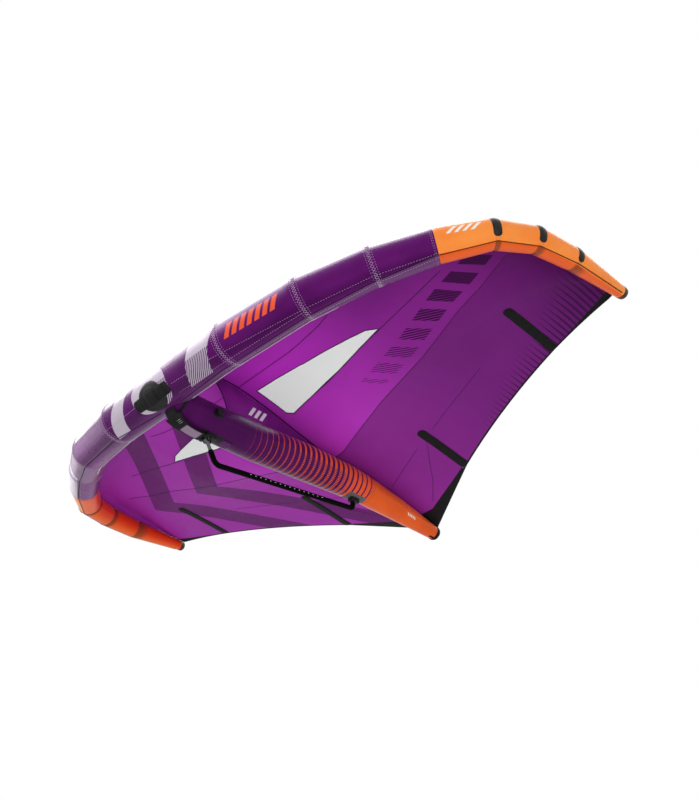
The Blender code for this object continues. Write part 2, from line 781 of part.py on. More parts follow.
def canopy_grid():
    """Points of the right canopy's underside, one row for each chord from the keel out."""
    rings = strut_rings()
    fronts = attach_points()
    front = fronts[0]
    backs = [front.y + (WEB_FULL_BACK - front.y) * k / NOSE_ROWS for k in range(NOSE_ROWS)]
    tops = [point.y for point in (ring[0] for ring in rings) if point.y > WEB_TAIL_BACK - TAPE_WIDTH]
    span = tops[0] - WEB_FULL_BACK
    backs += [WEB_FULL_BACK + span * k / WEB_ROWS for k in range(WEB_ROWS)]
    for a, b in zip(tops, tops[1:]):
        backs += [a, (a + b) / 2]
    tail = TRAILING_BACK[0]
    backs = [back for back in backs if back < tail - TAPE_WIDTH] + [tail]
    shares = [(back - front.y) / (tail - front.y) for back in backs]
    heel = trailing_point(0).z
    cambers = []
    for back, share in zip(backs, shares):
        level = front.z + (heel - front.z) * share
        cambers.append(keel_height(rings, back, front) - level if back < tail else 0.0)
    grid = []
    tip_out = TRAILING_OUT[-1]
    for k, cuts in enumerate(CHORD_CUTS):
        for step in range(cuts + (k == len(CHORD_CUTS) - 1)):
            part = step / cuts
            start = fronts[k].lerp(fronts[k + 1], part)
            reach = TRAILING_REACH_SHARES[k] * (1 - part) + TRAILING_REACH_SHARES[k + 1] * part
            end = trailing_point(tip_out * reach)
            camber = CAMBER_SHARES[k] * (1 - part) + CAMBER_SHARES[k + 1] * part
            row = []
            for share, height in zip(shares, cambers):
                row.append(start.lerp(end, share) + Vector((0, 0, height * camber)))
            grid.append(row)
    for point in grid[0]:
        point.x = SEAT / 2
    return grid


def grid_normals(grid):
    """Upward normals of a grid of points."""
    last_row, last = len(grid) - 1, len(grid[0]) - 1
    normals = []
    for i, row in enumerate(grid):
        line = []
        for j in range(len(row)):
            out = grid[min(i + 1, last_row)][j] - grid[max(i - 1, 0)][j]
            back = row[min(j + 1, last)] - row[max(j - 1, 0)]
            normal = out.cross(back)
            if i == 0:
                normal.x = 0
            line.append(normal.normalized())
        normals.append(line)
    # The last chord is too short to tell its own slope.
    mean = sum(normals[-2], Vector()).normalized()
    normals[-1] = [mean] * (last + 1)
    return normals


def layer(grid, normals, offset, side):
    """The grid lifted along its normals, on the right or mirrored to the left."""
    lifted = []
    for row, line in zip(grid, normals):
        points = [point + normal * offset for point, normal in zip(row, line)]
        lifted.append([point if side > 0 else mirrored(point) for point in points])
    return lifted


def canopy_sheet(name, low, high, side, material=None):
    grid = canopy_grid()
    normals = grid_normals(grid)
    return slab(name, layer(grid, normals, low, side), layer(grid, normals, high, side), material)


def plan_cutter(name, outline, side):
    """An upright tool from an outline seen from above."""
    reach = LE_OUT[0]
    points = [(x * side, y) for x, y in outline]
    return prism(name, points, -reach, LE_UP[-1] + reach)


def inset(outline, margin):
    """The outline moved inward by margin; outward where it is negative."""
    points = [Vector(point) for point in outline]
    count = len(points)
    area = sum(a.x * b.y - b.x * a.y for a, b in zip(points, points[1:] + points[:1]))
    turn = 1 if area > 0 else -1
    moved = []
    for k in range(count):
        before = (points[k] - points[k - 1]).normalized()
        after = (points[(k + 1) % count] - points[k]).normalized()
        normal = Vector((-before.y - after.y, before.x + after.x)).normalized() * turn
        lean = normal.dot(Vector((-before.y, before.x)) * turn)
        moved.append(tuple(points[k] + normal * margin / lean))
    return moved


def strip_outline(out, width, length, hold):
    """A strip's outline in plan, running forward from the trailing edge to a round head."""
    end = trailing_point(out)
    foot = end.y - hold
    points = [(out - width / 2, foot), (out + width / 2, foot)]
    for k in range(7):
        turn = math.pi * k / 6
        lead = math.sin(turn) * width / 2
        points.append((out + math.cos(turn) * width / 2, foot - length + width / 2 - lead))
    return points


def canopy_cut(name, outline, low, high, side, material=None):
    """The part of a sheet under the canopy that lies inside an outline."""
    sheet = canopy_sheet(name, low, high, side, material)
    return combine(sheet, plan_cutter("outline", outline, side), "INTERSECT")


def build_canopies():
    """The right and left cloth, with a window, a tail corner and a tip corner let in."""
    panels = (
        ("window_", WINDOW_OUTLINE, "window_film"),
        ("tail_corner_", TAIL_PANEL_OUTLINE, "black_webbing"),
        ("tip_corner_", TIP_PANEL_OUTLINE, "black_webbing"),
    )
    for half_name, side in half_names():
        canopy = canopy_sheet("canopy_" + half_name, 0.0, CLOTH, side, "canopy_cloth")
        for panel_name, outline, material in panels:
            combine(canopy, plan_cutter("opening", outline, side))
            canopy_cut(panel_name + half_name, inset(outline, SEAT), 0.0, CLOTH, side, material)


def build_battens():
    for half_name, side in half_names():
        for batten_name, out in BATTEN_HEADS:
            hold = POCKET_MARGIN
            rod_outline = strip_outline(out, BATTEN_WIDTH, BATTEN_LENGTH, hold)
            room = inset(rod_outline, -SEAT)
            cover = inset(rod_outline, -POCKET_MARGIN + SEAT)
            floor = -(2 * SEAT + BATTEN_THICKNESS)
            label = f"{batten_name}_{half_name}"
            canopy_cut("batten_" + label, rod_outline, floor + SEAT, -SEAT, side, "batten_fibre")
            pocket = canopy_cut("batten_pocket_" + label, cover, floor - POCKET_WALL, -SEAT, side, "black_webbing")
            combine(pocket, canopy_cut("room", room, floor, CLOTH, side))


def build_trailing_trim():
    for half_name, side in half_names():
        grid = canopy_grid()
        normals = grid_normals(grid)
        strip = []
        strip_normals = []
        for row, line in zip(grid, normals):
            share = min(TAPE_WIDTH / (row[-1] - row[-2]).length, 1.0)
            strip.append([row[-1].lerp(row[-2], share), row[-1]])
            strip_normals.append([line[-1], line[-1]])
        low, high = CLOTH + SEAT, CLOTH + SEAT + TAPE_THICKNESS
        layers = [layer(strip, strip_normals, offset, side) for offset in (low, high)]
        slab("trailing_tape_" + half_name, *layers, "black_webbing")


def build_web():
    rings = strut_rings()
    keel = [row for row in canopy_grid()[0]]
    foot, head = WEB_FOOT_BACK, WEB_HEAD_BACK
    top = [(p.y, p.z - SEAT) for p in keel if head < p.y < WEB_TAIL_BACK - 2 * TAPE_WIDTH]
    for a, b in zip(keel, keel[1:]):
        if a.y <= head < b.y:
            start = a.lerp(b, (head - a.y) / (b.y - a.y))
    top = [(start.y, start.z - SEAT)] + top
    end_back = top[-1][0]
    stations = [ring[0].y for ring in rings if foot < ring[0].y < end_back]
    bottom = [(back, strut_top(rings, back) + SEAT) for back in [foot, *stations, end_back]]
    low, high = Vector(bottom[0]), Vector(top[0])
    chord = high - low
    hollow = Vector((-chord.y, chord.x)).normalized() * WEB_EDGE_HOLLOW
    front = []
    for k in range(1, 6):
        share = k / 6
        front.append(tuple(high.lerp(low, share) - hollow * 4 * share * (1 - share)))
    side_plate("canopy_web", top + bottom[::-1] + front[::-1], WEB_THICKNESS, "canopy_cloth")


# Boom


def rounded_path(points, radii, steps=5):
    """A path with an arc at each inner corner."""
    path = [points[0]]
    for before, corner, after, radius in zip(points, points[1:], points[2:], radii):
        into = (before - corner).normalized()
        out = (after - corner).normalized()
        half = into.angle(out) / 2
        reach = radius / math.tan(half)
        centre = corner + (into + out).normalized() * radius / math.sin(half)
        start, end = corner + into * reach, corner + out * reach
        for k in range(steps + 1):
            spoke = (start - centre).normalized().slerp((end - centre).normalized(), k / steps)
            path.append(centre + spoke * radius)
    return path + [points[-1]]


def boom_points():
    """Pivot, the two corners and the top of the boom's rear end."""
    pivot = Vector((0, PIVOT_BACK, PIVOT_UP))
    corners = [Vector((0, b, u)) for b, u in zip(BOOM_CORNERS_BACK, BOOM_CORNERS_UP)]
    # The rear end points the way the wing lifts off it, square to the line from the pivot.
    arm = corners[1] - pivot
    rise = Vector((0, -arm.z, arm.y)).normalized()
    top = corners[1] + rise * (BOOM_TOP - corners[1].z) / rise.z
    return pivot, corners, top, rise


def boom_rings(radius, start, end):
    """Rings round the boom's path, begun and ended a little inside it."""
    pivot, corners, top, rise = boom_points()
    first = pivot + (corners[0] - pivot).normalized() * start
    last = top - rise * end
    path = rounded_path([first, *corners, last], BOOM_CORNER_RADII)
    return mitred_rings(path, [radius] * len(path), Vector((1, 0, 0)), 16)


def build_boom():
    collar = COLLAR_THICKNESS
    start, end = NECK_LENGTH + SEAT, collar + SEAT
    inner = TUBE_RADIUS - TUBE_WALL
    shell("boom_tube", boom_rings(TUBE_RADIUS, start, end), boom_rings(inner, start, end), "anodised_tube")
    sleeve = TUBE_RADIUS + SEAT
    shell("boom_grip", boom_rings(GRIP_RADIUS, start, end), boom_rings(sleeve, start, end), "grip_foam")
    pivot, corners, top, rise = boom_points()
    spigot = inner - 3 * SEAT
    profile = ((0, 0), (EYE_HALF_WIDTH, 0), (NECK_RADIUS, NECK_LENGTH * 0.6))
    profile += ((NECK_RADIUS, NECK_LENGTH), (spigot, NECK_LENGTH))
    profile += ((spigot, NECK_LENGTH + SPIGOT_LENGTH), (0, NECK_LENGTH + SPIGOT_LENGTH))
    neck = stand(turned("boom_neck", profile, "black_plastic"), pivot, corners[0] - pivot)
    eye = stand(pillar("eye", EYE_RADIUS, -EYE_HALF_WIDTH, EYE_HALF_WIDTH), pivot, Vector((1, 0, 0)))
    combine(neck, eye, "UNION")
    bore = pillar("bore", PIN_RADIUS + PIN_PLAY, -EAR_RADIUS, EAR_RADIUS)
    combine(neck, stand(bore, pivot, Vector((1, 0, 0))))
    low = -SPIGOT_LENGTH
    profile = ((0, low), (spigot, low), (spigot, -collar), (GRIP_RADIUS, -collar), (GRIP_RADIUS, 0))
    profile += ((STUB_RADIUS, 0), (STUB_RADIUS, STUB_LENGTH - 0.002), (STUB_RADIUS - 0.002, STUB_LENGTH), (0, STUB_LENGTH))
    stand(turned("boom_rear_plug", profile, "black_plastic"), top, rise)


def strut_pad(name, span, half_width, low, high, material=None):
    """A patch on the strut's underside."""
    layers = []
    for offset in (high, low):
        rings = strut_rings(offset)
        ends = [strut_place(rings, back) for back in span]
        places = [ends[0], *range(int(ends[0]) + 1, math.ceil(ends[1])), ends[1]]
        layers.append([between(rings, place) for place in places])
    pad = shell(name, *layers, material)
    reach = TRAILING_BACK[0]
    middle = middle_of(layers[0][0]).z
    tool = block("trim", (-half_width, 0, -reach), (half_width, reach, middle))
    return combine(pad, tool, "INTERSECT")


def strut_core(offset):
    return rod("core", strut_rings(offset))


def fork_block(name, half_width, low, material=None):
    """A block round the boom's pivot, up into the strut."""
    front, rear = PIVOT_BACK - FORK_FRONT, PIVOT_BACK + FORK_REAR
    top = STRUT_UP[3] - STRUT_RADIUS[3] + EAR_RADIUS
    made = block(name, (-half_width, front, low), (half_width, rear, top), material)
    return soften(made, FORK_BEVEL, 2)


def build_front_fork():
    pad_top = SEAT + PAD_THICKNESS
    strut_pad("boom_front_pad", FRONT_PAD, PAD_HALF_WIDTH, SEAT, pad_top, "black_webbing")
    pivot = boom_points()[0]
    inner = EYE_HALF_WIDTH + EAR_PLAY
    outer = inner + EAR_THICKNESS
    fork = fork_block("boom_front_base", PAD_HALF_WIDTH, FORK_FOOT, "black_plastic")
    ears = stand(pillar("ears", EAR_RADIUS, -outer, outer), pivot, Vector((1, 0, 0)))
    combine(fork, ears, "UNION")
    slot = block("slot", (-inner, 0, PIVOT_UP - 2 * EAR_RADIUS), (inner, 2 * PIVOT_BACK, PIVOT_UP + EAR_RADIUS))
    combine(fork, slot)
    combine(fork, strut_core(pad_top + SEAT))
    reach, shoulder = 2 * PAD_HALF_WIDTH, outer - SEAT
    wide, narrow = PIN_HEAD_RADIUS + SEAT, PIN_RADIUS + PIN_PLAY
    profile = ((0, -reach), (wide, -reach), (wide, -shoulder), (narrow, -shoulder))
    profile += tuple((radius, -height) for radius, height in reversed(profile))
    combine(fork, stand(turned("bore", profile), pivot, Vector((1, 0, 0))))
    length, head = outer, outer + PIN_HEAD
    profile = ((0, -head), (PIN_HEAD_RADIUS, -head), (PIN_HEAD_RADIUS, -length), (PIN_RADIUS, -length))
    profile += tuple((radius, -height) for radius, height in reversed(profile))
    stand(turned("boom_pivot_pin", profile, "steel"), pivot, Vector((1, 0, 0)))


def build_rear_socket():
    pad_top = SEAT + PAD_THICKNESS
    strut_pad("boom_rear_pad", REAR_PAD, PAD_HALF_WIDTH, SEAT, pad_top, "black_webbing")
    pivot, corners, top, rise = boom_points()
    half = SOCKET_HALF_WIDTH
    low = top.z + 2 * SEAT
    front, back = top.y - SOCKET_FRONT, top.y + SOCKET_REAR
    socket = block(
        "boom_rear_socket", (-half, front, low), (half, back, low + SOCKET_DEPTH + half), "black_plastic"
    )
    soften(socket, FORK_BEVEL, 3)
    combine(socket, strut_core(pad_top + SEAT))
    radius = STUB_RADIUS + SOCKET_PLAY
    bore = stand(pillar("bore", radius, -half, STUB_LENGTH + SOCKET_PLAY), top, rise)
    combine(socket, bore)
    axis = latch_axis()
    bore = pillar("bore", BUTTON_RADIUS + SEAT, -BUTTON_BORE_DEPTH, BUTTON_RADIUS)
    combine(socket, stand(bore, axis, Vector((0, 1, 0))))
    low = -BUTTON_LENGTH + BUTTON_STANDS_OUT
    high = BUTTON_STANDS_OUT
    edge = BUTTON_RADIUS - 0.001
    profile = ((0, low), (BUTTON_RADIUS, low), (BUTTON_RADIUS, high - 0.001), (edge, high), (0, high))
    stand(turned("latch_button", profile, "steel", 24), axis, Vector((0, 1, 0)))
    build_spring(axis, -BUTTON_BORE_DEPTH + SEAT, low - SEAT)


def latch_axis():
    """The middle of the latch button's mouth, on the socket's rear face."""
    top = boom_points()[2]
    return Vector((0, top.y + SOCKET_REAR, top.z + BUTTON_RADIUS + FORK_BEVEL))


def build_spring(axis, low, high):
    """A coil spring behind the latch button."""
    sides, steps = 6, 10
    count = SPRING_TURNS * steps
    room = high - low - 2 * SPRING_WIRE
    path = []
    for k in range(count + 1):
        turn = math.tau * k / steps
        height = low + SPRING_WIRE + room * k / count
        path.append(Vector((SPRING_RADIUS * math.cos(turn), height, SPRING_RADIUS * math.sin(turn))))
    rings = mitred_rings(path, [SPRING_WIRE] * len(path), Vector((0, 1, 0)), sides)
    rod("latch_spring", [[axis + point for point in ring] for ring in rings], "steel")


# Handle


def handle_path():
    """The strap's middle line in the middle plane, as (back, up) points."""
    points = [Vector(point) for point in zip(HANDLE_BACK, HANDLE_UP)]
    smooth = []
    for k in range(len(points) - 1):
        before, a, b = points[max(k - 1, 0)], points[k], points[k + 1]
        after = points[min(k + 2, len(points) - 1)]
        for step in range(3):
            t = step / 3
            bend = (2 * before - 5 * a + 4 * b - after) * t * t
            smooth.append((2 * a + (b - before) * t + bend + (3 * a - before - 3 * b + after) * t**3) / 2)
    return smooth + [points[-1]]


def band_outline(path, low, high):
    """The outline of a band between two offsets from a path."""
    edges = ([], [])
    for k, point in enumerate(path):
        way = (path[min(k + 1, len(path) - 1)] - path[max(k - 1, 0)]).normalized()
        normal = Vector((-way.y, way.x))
        for edge, offset in zip(edges, (low, high)):
            edge.append(tuple(point + normal * offset))
    return edges[0] + edges[1][::-1]


def build_handle():
    path = handle_path()
    half = HANDLE_THICKNESS / 2
    band = band_outline(path, -half, half)
    strap = side_plate("front_handle", band, HANDLE_WIDTH, "black_webbing")
    combine(strap, strut_core(SEAT))
    start, stop = HANDLE_SLEEVE
    wide, narrow = HANDLE_SLEEVE_HALF_WIDTHS
    low = half + SEAT
    band = band_outline(path, -low - HANDLE_SLEEVE_THICKNESS, -low)
    sleeve = side_plate("front_handle_sleeve", band, 4 * wide, "black_webbing")
    trapezium = ((-wide, start), (wide, start), (narrow, stop), (-narrow, stop))
    combine(sleeve, plan_cutter("trim", trapezium, 1), "INTERSECT")


def settle():
    """Moves all pieces so that the origin is in the middle of the boom's grip."""
    pivot, corners, top, rise = boom_points()
    share = (GRIP_BACK - corners[0].y) / (corners[1].y - corners[0].y)
    grip = corners[0].lerp(corners[1], share)
    place, way = valve_frame()
    hinge = place + Vector((FLAP_HALF_LENGTH + FLAP_HINGE_MARGIN, 0, 0)) + way * SEAT
    valve, out = strut_valve_frame()
    cap_hinge = valve + out * (STRUT_VALVE_HEIGHT + SEAT) + Vector((0, 0, STRUT_CAP_HINGE_REACH))
    axes = {"le_valve_flap": hinge, "strut_valve_cap": cap_hinge, "latch_button": latch_axis()}
    for piece in bpy.context.scene.objects:
        axis = axes.get(piece.name, pivot)
        piece.data.transform(Matrix.Translation(-axis))
        piece.location = axis - grip


def clear_scene():
    for old in list(bpy.data.objects):
        bpy.data.objects.remove(old, do_unlink=True)


def main():
    clear_scene()
    build_casings(valve_hole())
    build_bladder(valve_hole())
    build_tip_caps()
    build_scuff_patches()
    build_valve()
    build_strut()
    build_tail_cap()
    build_strut_valve()
    build_canopies()
    build_battens()
    build_trailing_trim()
    build_web()
    build_boom()
    build_front_fork()
    build_rear_socket()
    build_handle()
    settle()


main()
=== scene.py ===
"""A wingfoil wing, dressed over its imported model.

Lengths are in metres. Each size is measured out to the right tip (X), back to the tail (Y)
and up (Z) from a point under the middle of the leading edge, level with the strut.
The finished meshes are moved to the frame's own origin, the middle of the boom's grip.
"""

import functools
import logging
import math
import operator
from dataclasses import dataclass
from enum import Enum
from typing import Callable, Iterable, Optional, Sequence, Union

import bmesh
import bpy
from mathutils import Matrix, Vector
from mathutils.bvhtree import BVHTree


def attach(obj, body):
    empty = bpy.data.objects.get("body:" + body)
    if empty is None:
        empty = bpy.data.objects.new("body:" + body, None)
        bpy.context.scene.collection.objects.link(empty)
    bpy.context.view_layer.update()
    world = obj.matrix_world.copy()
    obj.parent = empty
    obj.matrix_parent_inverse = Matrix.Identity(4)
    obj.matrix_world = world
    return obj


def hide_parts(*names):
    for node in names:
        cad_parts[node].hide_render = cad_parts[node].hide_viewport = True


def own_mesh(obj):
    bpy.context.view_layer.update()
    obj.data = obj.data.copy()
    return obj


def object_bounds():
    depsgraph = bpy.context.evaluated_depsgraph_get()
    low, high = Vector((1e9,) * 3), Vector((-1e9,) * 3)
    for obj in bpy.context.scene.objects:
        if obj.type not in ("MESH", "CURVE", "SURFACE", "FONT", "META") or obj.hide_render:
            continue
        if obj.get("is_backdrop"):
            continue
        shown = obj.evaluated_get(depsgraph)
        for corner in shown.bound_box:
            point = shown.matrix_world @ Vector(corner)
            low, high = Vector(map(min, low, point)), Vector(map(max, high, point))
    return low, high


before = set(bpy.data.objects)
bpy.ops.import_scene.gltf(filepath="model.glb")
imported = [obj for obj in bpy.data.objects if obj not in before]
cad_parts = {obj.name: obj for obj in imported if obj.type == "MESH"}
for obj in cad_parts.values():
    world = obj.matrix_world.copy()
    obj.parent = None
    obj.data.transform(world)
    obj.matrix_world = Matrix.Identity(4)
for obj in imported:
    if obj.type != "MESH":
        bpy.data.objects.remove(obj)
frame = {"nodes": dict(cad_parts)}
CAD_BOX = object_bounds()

log = logging.getLogger("wing")

Material = bpy.types.Material
Object = bpy.types.Object
Pair = tuple[float, float]
Pairs = tuple[Pair, ...]
Sizes = tuple[float, ...]
Rows = Sequence[Sequence[Vector]]
Flat = Callable[[int, int], Pair]
SurfaceMap = Callable[[float, float, float], Vector]

GRIP_MIDDLE = Vector((0.0, 0.745, -0.144274))
SEAT = 0.0003
REAR_SEAM = (
    (0.088, 1.005), (0.288, 0.943), (0.451, 0.897), (0.610, 0.869), (0.770, 0.841), (0.930, 0.804),
    (1.080, 0.768), (1.220, 0.747), (1.360, 0.715),
)


class Half(Enum):
    """The two halves of the wing."""

    RIGHT = 1
    LEFT = -1

    @property
    def label(self) -> str:
        """The half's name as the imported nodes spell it."""
        return self.name.lower()

    def of(self, point: Vector) -> Vector:
        """A right-hand point on this half."""
        return Vector((point.x * self.value, point.y, point.z))


class Body(Enum):
    """The bodies that pieces ride on."""

    WING = "wing"
    BOOM = "boom"
    BUTTON = "latch_button"
    FLAP = "le_valve_flap"
    PLUG = "le_valve_plug"
    CAP = "strut_valve_cap"


def paint(red: int, green: int, blue: int) -> tuple[float, float, float, float]:
    """A colour as a picture gives it, ready for a shader.

    Args:
        red: the red, from 0 to 255.
        green: the green, from 0 to 255.
        blue: the blue, from 0 to 255.

    Returns:
        The linear colour with full cover.
    """
    linear = []
    for part in (red, green, blue):
        share = part / 255
        linear.append(share / 12.92 if share <= 0.04045 else ((share + 0.055) / 1.055) ** 2.4)
    return (*linear, 1.0)


def interpolate(x: float, points: Sequence[Pair]) -> float:
    """The height of a polyline at x, held level past its ends."""
    if x <= points[0][0]:
        return points[0][1]
    for (x0, y0), (x1, y1) in zip(points, points[1:]):
        if x <= x1:
            return y0 + (y1 - y0) * (x - x0) / (x1 - x0)
    return points[-1][1]


def smooth_step(low: float, high: float, x: float) -> float:
    """Rises smoothly from 0 at low to 1 at high."""
    share = min(max((x - low) / (high - low), 0.0), 1.0)
    return share * share * (3 - 2 * share)


def locate(x: float, marks: Sequence[float]) -> tuple[int, float]:
    """The mark before x, and the share of the way on towards the next one."""
    last = len(marks) - 2
    k = next((k for k in range(last) if x <= marks[k + 1]), last)
    return k, (x - marks[k]) / (marks[k + 1] - marks[k])


def rounded(reach: float) -> float:
    """The share of its full width that a round end has, at a reach in from its tip in radii."""
    return math.sqrt(max(1 - (1 - min(reach, 1.0)) ** 2, 0.0))


def heading(path: Sequence[Vector], k: int) -> Vector:
    """The way that a path runs at its kth point."""
    return (path[min(k + 1, len(path) - 1)] - path[max(k - 1, 0)]).normalized()


def travelled(path: Sequence[Vector]) -> list[float]:
    """How far along the path each of its points is."""
    lengths = [0.0]
    for a, b in zip(path, path[1:]):
        lengths.append(lengths[-1] + (b - a).length)
    return lengths


# ---------------------------------------------------------------- meshes


class Pattern:
    """A mesh being cut and sewn: points, faces, and each corner's place on the flat cloth."""

    def __init__(self, name: str) -> None:
        """Starts an empty pattern for a piece of that name."""
        self.name = name
        self.points: list[Vector] = []
        self.faces: list[tuple[int, ...]] = []
        self.flats: list[Pairs] = []

    def grid(
        self,
        rows: Rows,
        flat: Flat,
        ring: bool = False,
        turned: bool = False,
    ) -> list[list[int]]:
        """Adds a grid of points.

        Args:
            rows: the points, row by row.
            flat: the place on the flat cloth of the corner at a row and a column.
            ring: whether each row closes on itself.
            turned: whether the faces look the other way.

        Returns:
            The number of each point, row by row.
        """
        numbers = []
        for row in rows:
            start = len(self.points)
            self.points.extend(row)
            numbers.append(list(range(start, start + len(row))))
        across = len(rows[0])
        for i in range(len(rows) - 1):
            for j in range(across if ring else across - 1):
                corners = ((i, j), (i, j + 1), (i + 1, j + 1), (i + 1, j))
                if turned:
                    corners = corners[::-1]
                self.faces.append(tuple(numbers[a][b % across] for a, b in corners))
                self.flats.append(tuple(flat(a, b) for a, b in corners))
        return numbers

    def face(self, numbers: Sequence[int], place: Pair = (0.0, 0.0)) -> None:
        """Adds one face whose corners share one place on the cloth."""
        self.faces.append(tuple(numbers))
        self.flats.append(tuple(place for _ in numbers))

    def cap(self, numbers: Sequence[int]) -> None:
        """Closes a ring of points with a fan from its middle."""
        middle = sum((self.points[k] for k in numbers), Vector()) / len(numbers)
        self.points.append(middle)
        hub = len(self.points) - 1
        for a, b in zip(numbers, [*numbers[1:], numbers[0]]):
            self.face((a, b, hub))

    def rim(self, low: list[list[int]], high: list[list[int]]) -> None:
        """Joins the borders of two grids of the same shape."""

        def border(grid: list[list[int]]) -> list[int]:
            """The numbers round a grid's edge."""
            edge = list(grid[0]) + [row[-1] for row in grid[1:]]
            return edge + grid[-1][-2::-1] + [row[0] for row in grid[-2:0:-1]]

        self.join(border(low), border(high))

    def join(self, low: Sequence[int], high: Sequence[int]) -> None:
        """Joins two closed rings of points."""
        for k in range(len(low)):
            after = (k + 1) % len(low)
            self.face((low[k], low[after], high[after], high[k]))

    def tube(self, rings: Rows, flat: Flat) -> "Pattern":
        """Adds a tube over rings of points, capped at both ends."""
        numbers = self.grid(rings, flat, ring=True)
        self.cap(numbers[0][::-1])
        self.cap(numbers[-1])
        return self

    def sheet(self, low: Rows, high: Rows, flat: Flat) -> "Pattern":
        """Adds a thin closed sheet between two grids of points."""
        under = self.grid(low, flat)
        over = self.grid(high, flat, turned=True)
        self.rim(under, over)
        return self

    def slab(
        self, steps: int, across: int, place: Callable[[int, float], Sequence[Vector]], flat: Flat
    ) -> "Pattern":
        """Adds a thin closed patch.

        Args:
            steps: the cells along it.
            across: the cells across it.
            place: the under and the upper point at a step along and a share across, -1 to 1.
            flat: the place of a corner on the flat cloth.

        Returns:
            The pattern itself.
        """
        shares = [2 * j / across - 1 for j in range(across + 1)]
        grid = [[place(i, share) for share in shares] for i in range(steps + 1)]
        low, high = ([[spot[side] for spot in row] for row in grid] for side in (0, 1))
        return self.sheet(low, high, flat)

    def shape(self) -> Object:
        """The bare piece, moved into the frame, with its faces turned out."""
        mesh = bpy.data.meshes.new(self.name)
        mesh.from_pydata([tuple(p - GRIP_MIDDLE) for p in self.points], [], self.faces)
        flats = [value for corners in self.flats for place in corners for value in place]
        mesh.uv_layers.new(name="cloth").data.foreach_set("uv", flats)
        bm = bmesh.new()
        bm.from_mesh(mesh)
        bmesh.ops.recalc_face_normals(bm, faces=bm.faces)
        bm.to_mesh(mesh)
        bm.free()
        piece = bpy.data.objects.new(self.name, mesh)
        bpy.context.scene.collection.objects.link(piece)
        return piece

    def sew(
        self,
        material: Material,
        crease: float = 40.0,
        stands_for: Iterable[str] = (),
        slot: Optional[str] = None,
        body: Body = Body.WING,
    ) -> Object:
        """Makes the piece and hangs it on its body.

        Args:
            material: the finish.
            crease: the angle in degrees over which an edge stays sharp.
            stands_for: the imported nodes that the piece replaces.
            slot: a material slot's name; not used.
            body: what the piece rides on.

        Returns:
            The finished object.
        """
        piece = self.shape()
        piece.data.shade_smooth()
        piece.data.set_sharp_from_angle(angle=math.radians(crease))
        piece.data.materials.append(material)
        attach(piece, body.value)
        if stands_for:
            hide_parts(*stands_for)
        log.info("%s: %d faces", self.name, len(piece.data.polygons))
        return piece



def cut(piece: Object, tool: Object, way: str = "DIFFERENCE") -> None:
    """Cuts a piece with a tool, which is then thrown away; INTERSECT keeps what the tool covers."""
    finish = piece.data.materials[0]
    modifier = piece.modifiers.new("cut", "BOOLEAN")
    modifier.operation = way
    modifier.solver = "EXACT"
    modifier.object = tool
    graph = bpy.context.evaluated_depsgraph_get()
    piece.data = bpy.data.meshes.new_from_object(piece.evaluated_get(graph))
    piece.data.materials.clear()
    piece.data.materials.append(finish)
    piece.modifiers.clear()
    bpy.data.objects.remove(tool)


def upright_cutter(outline: Sequence[Pair], half: Half) -> Object:
    """An upright block from an outline seen from above, for cutting the canopy."""
    block, count = Pattern("cutter"), len(outline)
    for level in (-1.0, 2.0):
        height = level + GRIP_MIDDLE.z
        block.points += [Vector((x * half.value, y, height)) for x, y in outline]
    block.face(range(count))
    block.face(range(count, 2 * count))
    block.join(range(count), range(count, 2 * count))
    return block.shape()


def circle(middle: Vector, side: Vector, top: Vector, radius: float, count: int) -> list[Vector]:
    """Points round a middle, from its side towards its top."""
    turns = (math.tau * j / count for j in range(count))
    return [middle + (side * math.cos(turn) + top * math.sin(turn)) * radius for turn in turns]


def swept_rings(path: Sequence[Vector], radii: Sequence[float], sides: int) -> list[list[Vector]]:
    """Rings square to a path, carried along it without twist.

    Args:
        path: the points of the middle line.
        radii: the radius at each point.
        sides: the points in each ring.

    Returns:
        The rings.
    """
    tangent = (path[1] - path[0]).normalized()
    side = tangent.orthogonal().normalized()
    rings = []
    for k, (point, radius) in enumerate(zip(path, radii)):
        way = heading(path, k)
        side = (tangent.rotation_difference(way) @ side).normalized()
        tangent = way
        rings.append(circle(point, side, way.cross(side), radius, sides))
    return rings


def mitred_spokes(path: Sequence[Vector], lean: Vector) -> list[tuple[Vector, Vector, Vector, float]]:
    """The frames of rings that mitre a tube's straight lengths.

    Args:
        path: the middle line's corners.
        lean: the way that the rings' tops lean to.

    Returns:
        For each corner its side, its top, the way the path bends and how far the ring stretches.
    """
    ways = [(b - a).normalized() for a, b in zip(path, path[1:])]
    frames = []
    for k in range(len(path)):
        into, out = ways[max(k - 1, 0)], ways[min(k, len(ways) - 1)]
        normal, bend = (into + out).normalized(), out - into
        side = lean.cross(normal).normalized()
        across = bend.normalized() if bend.length > SEAT else Vector()
        frames.append((side, normal.cross(side), across, 1 / normal.dot(out) - 1))
    return frames


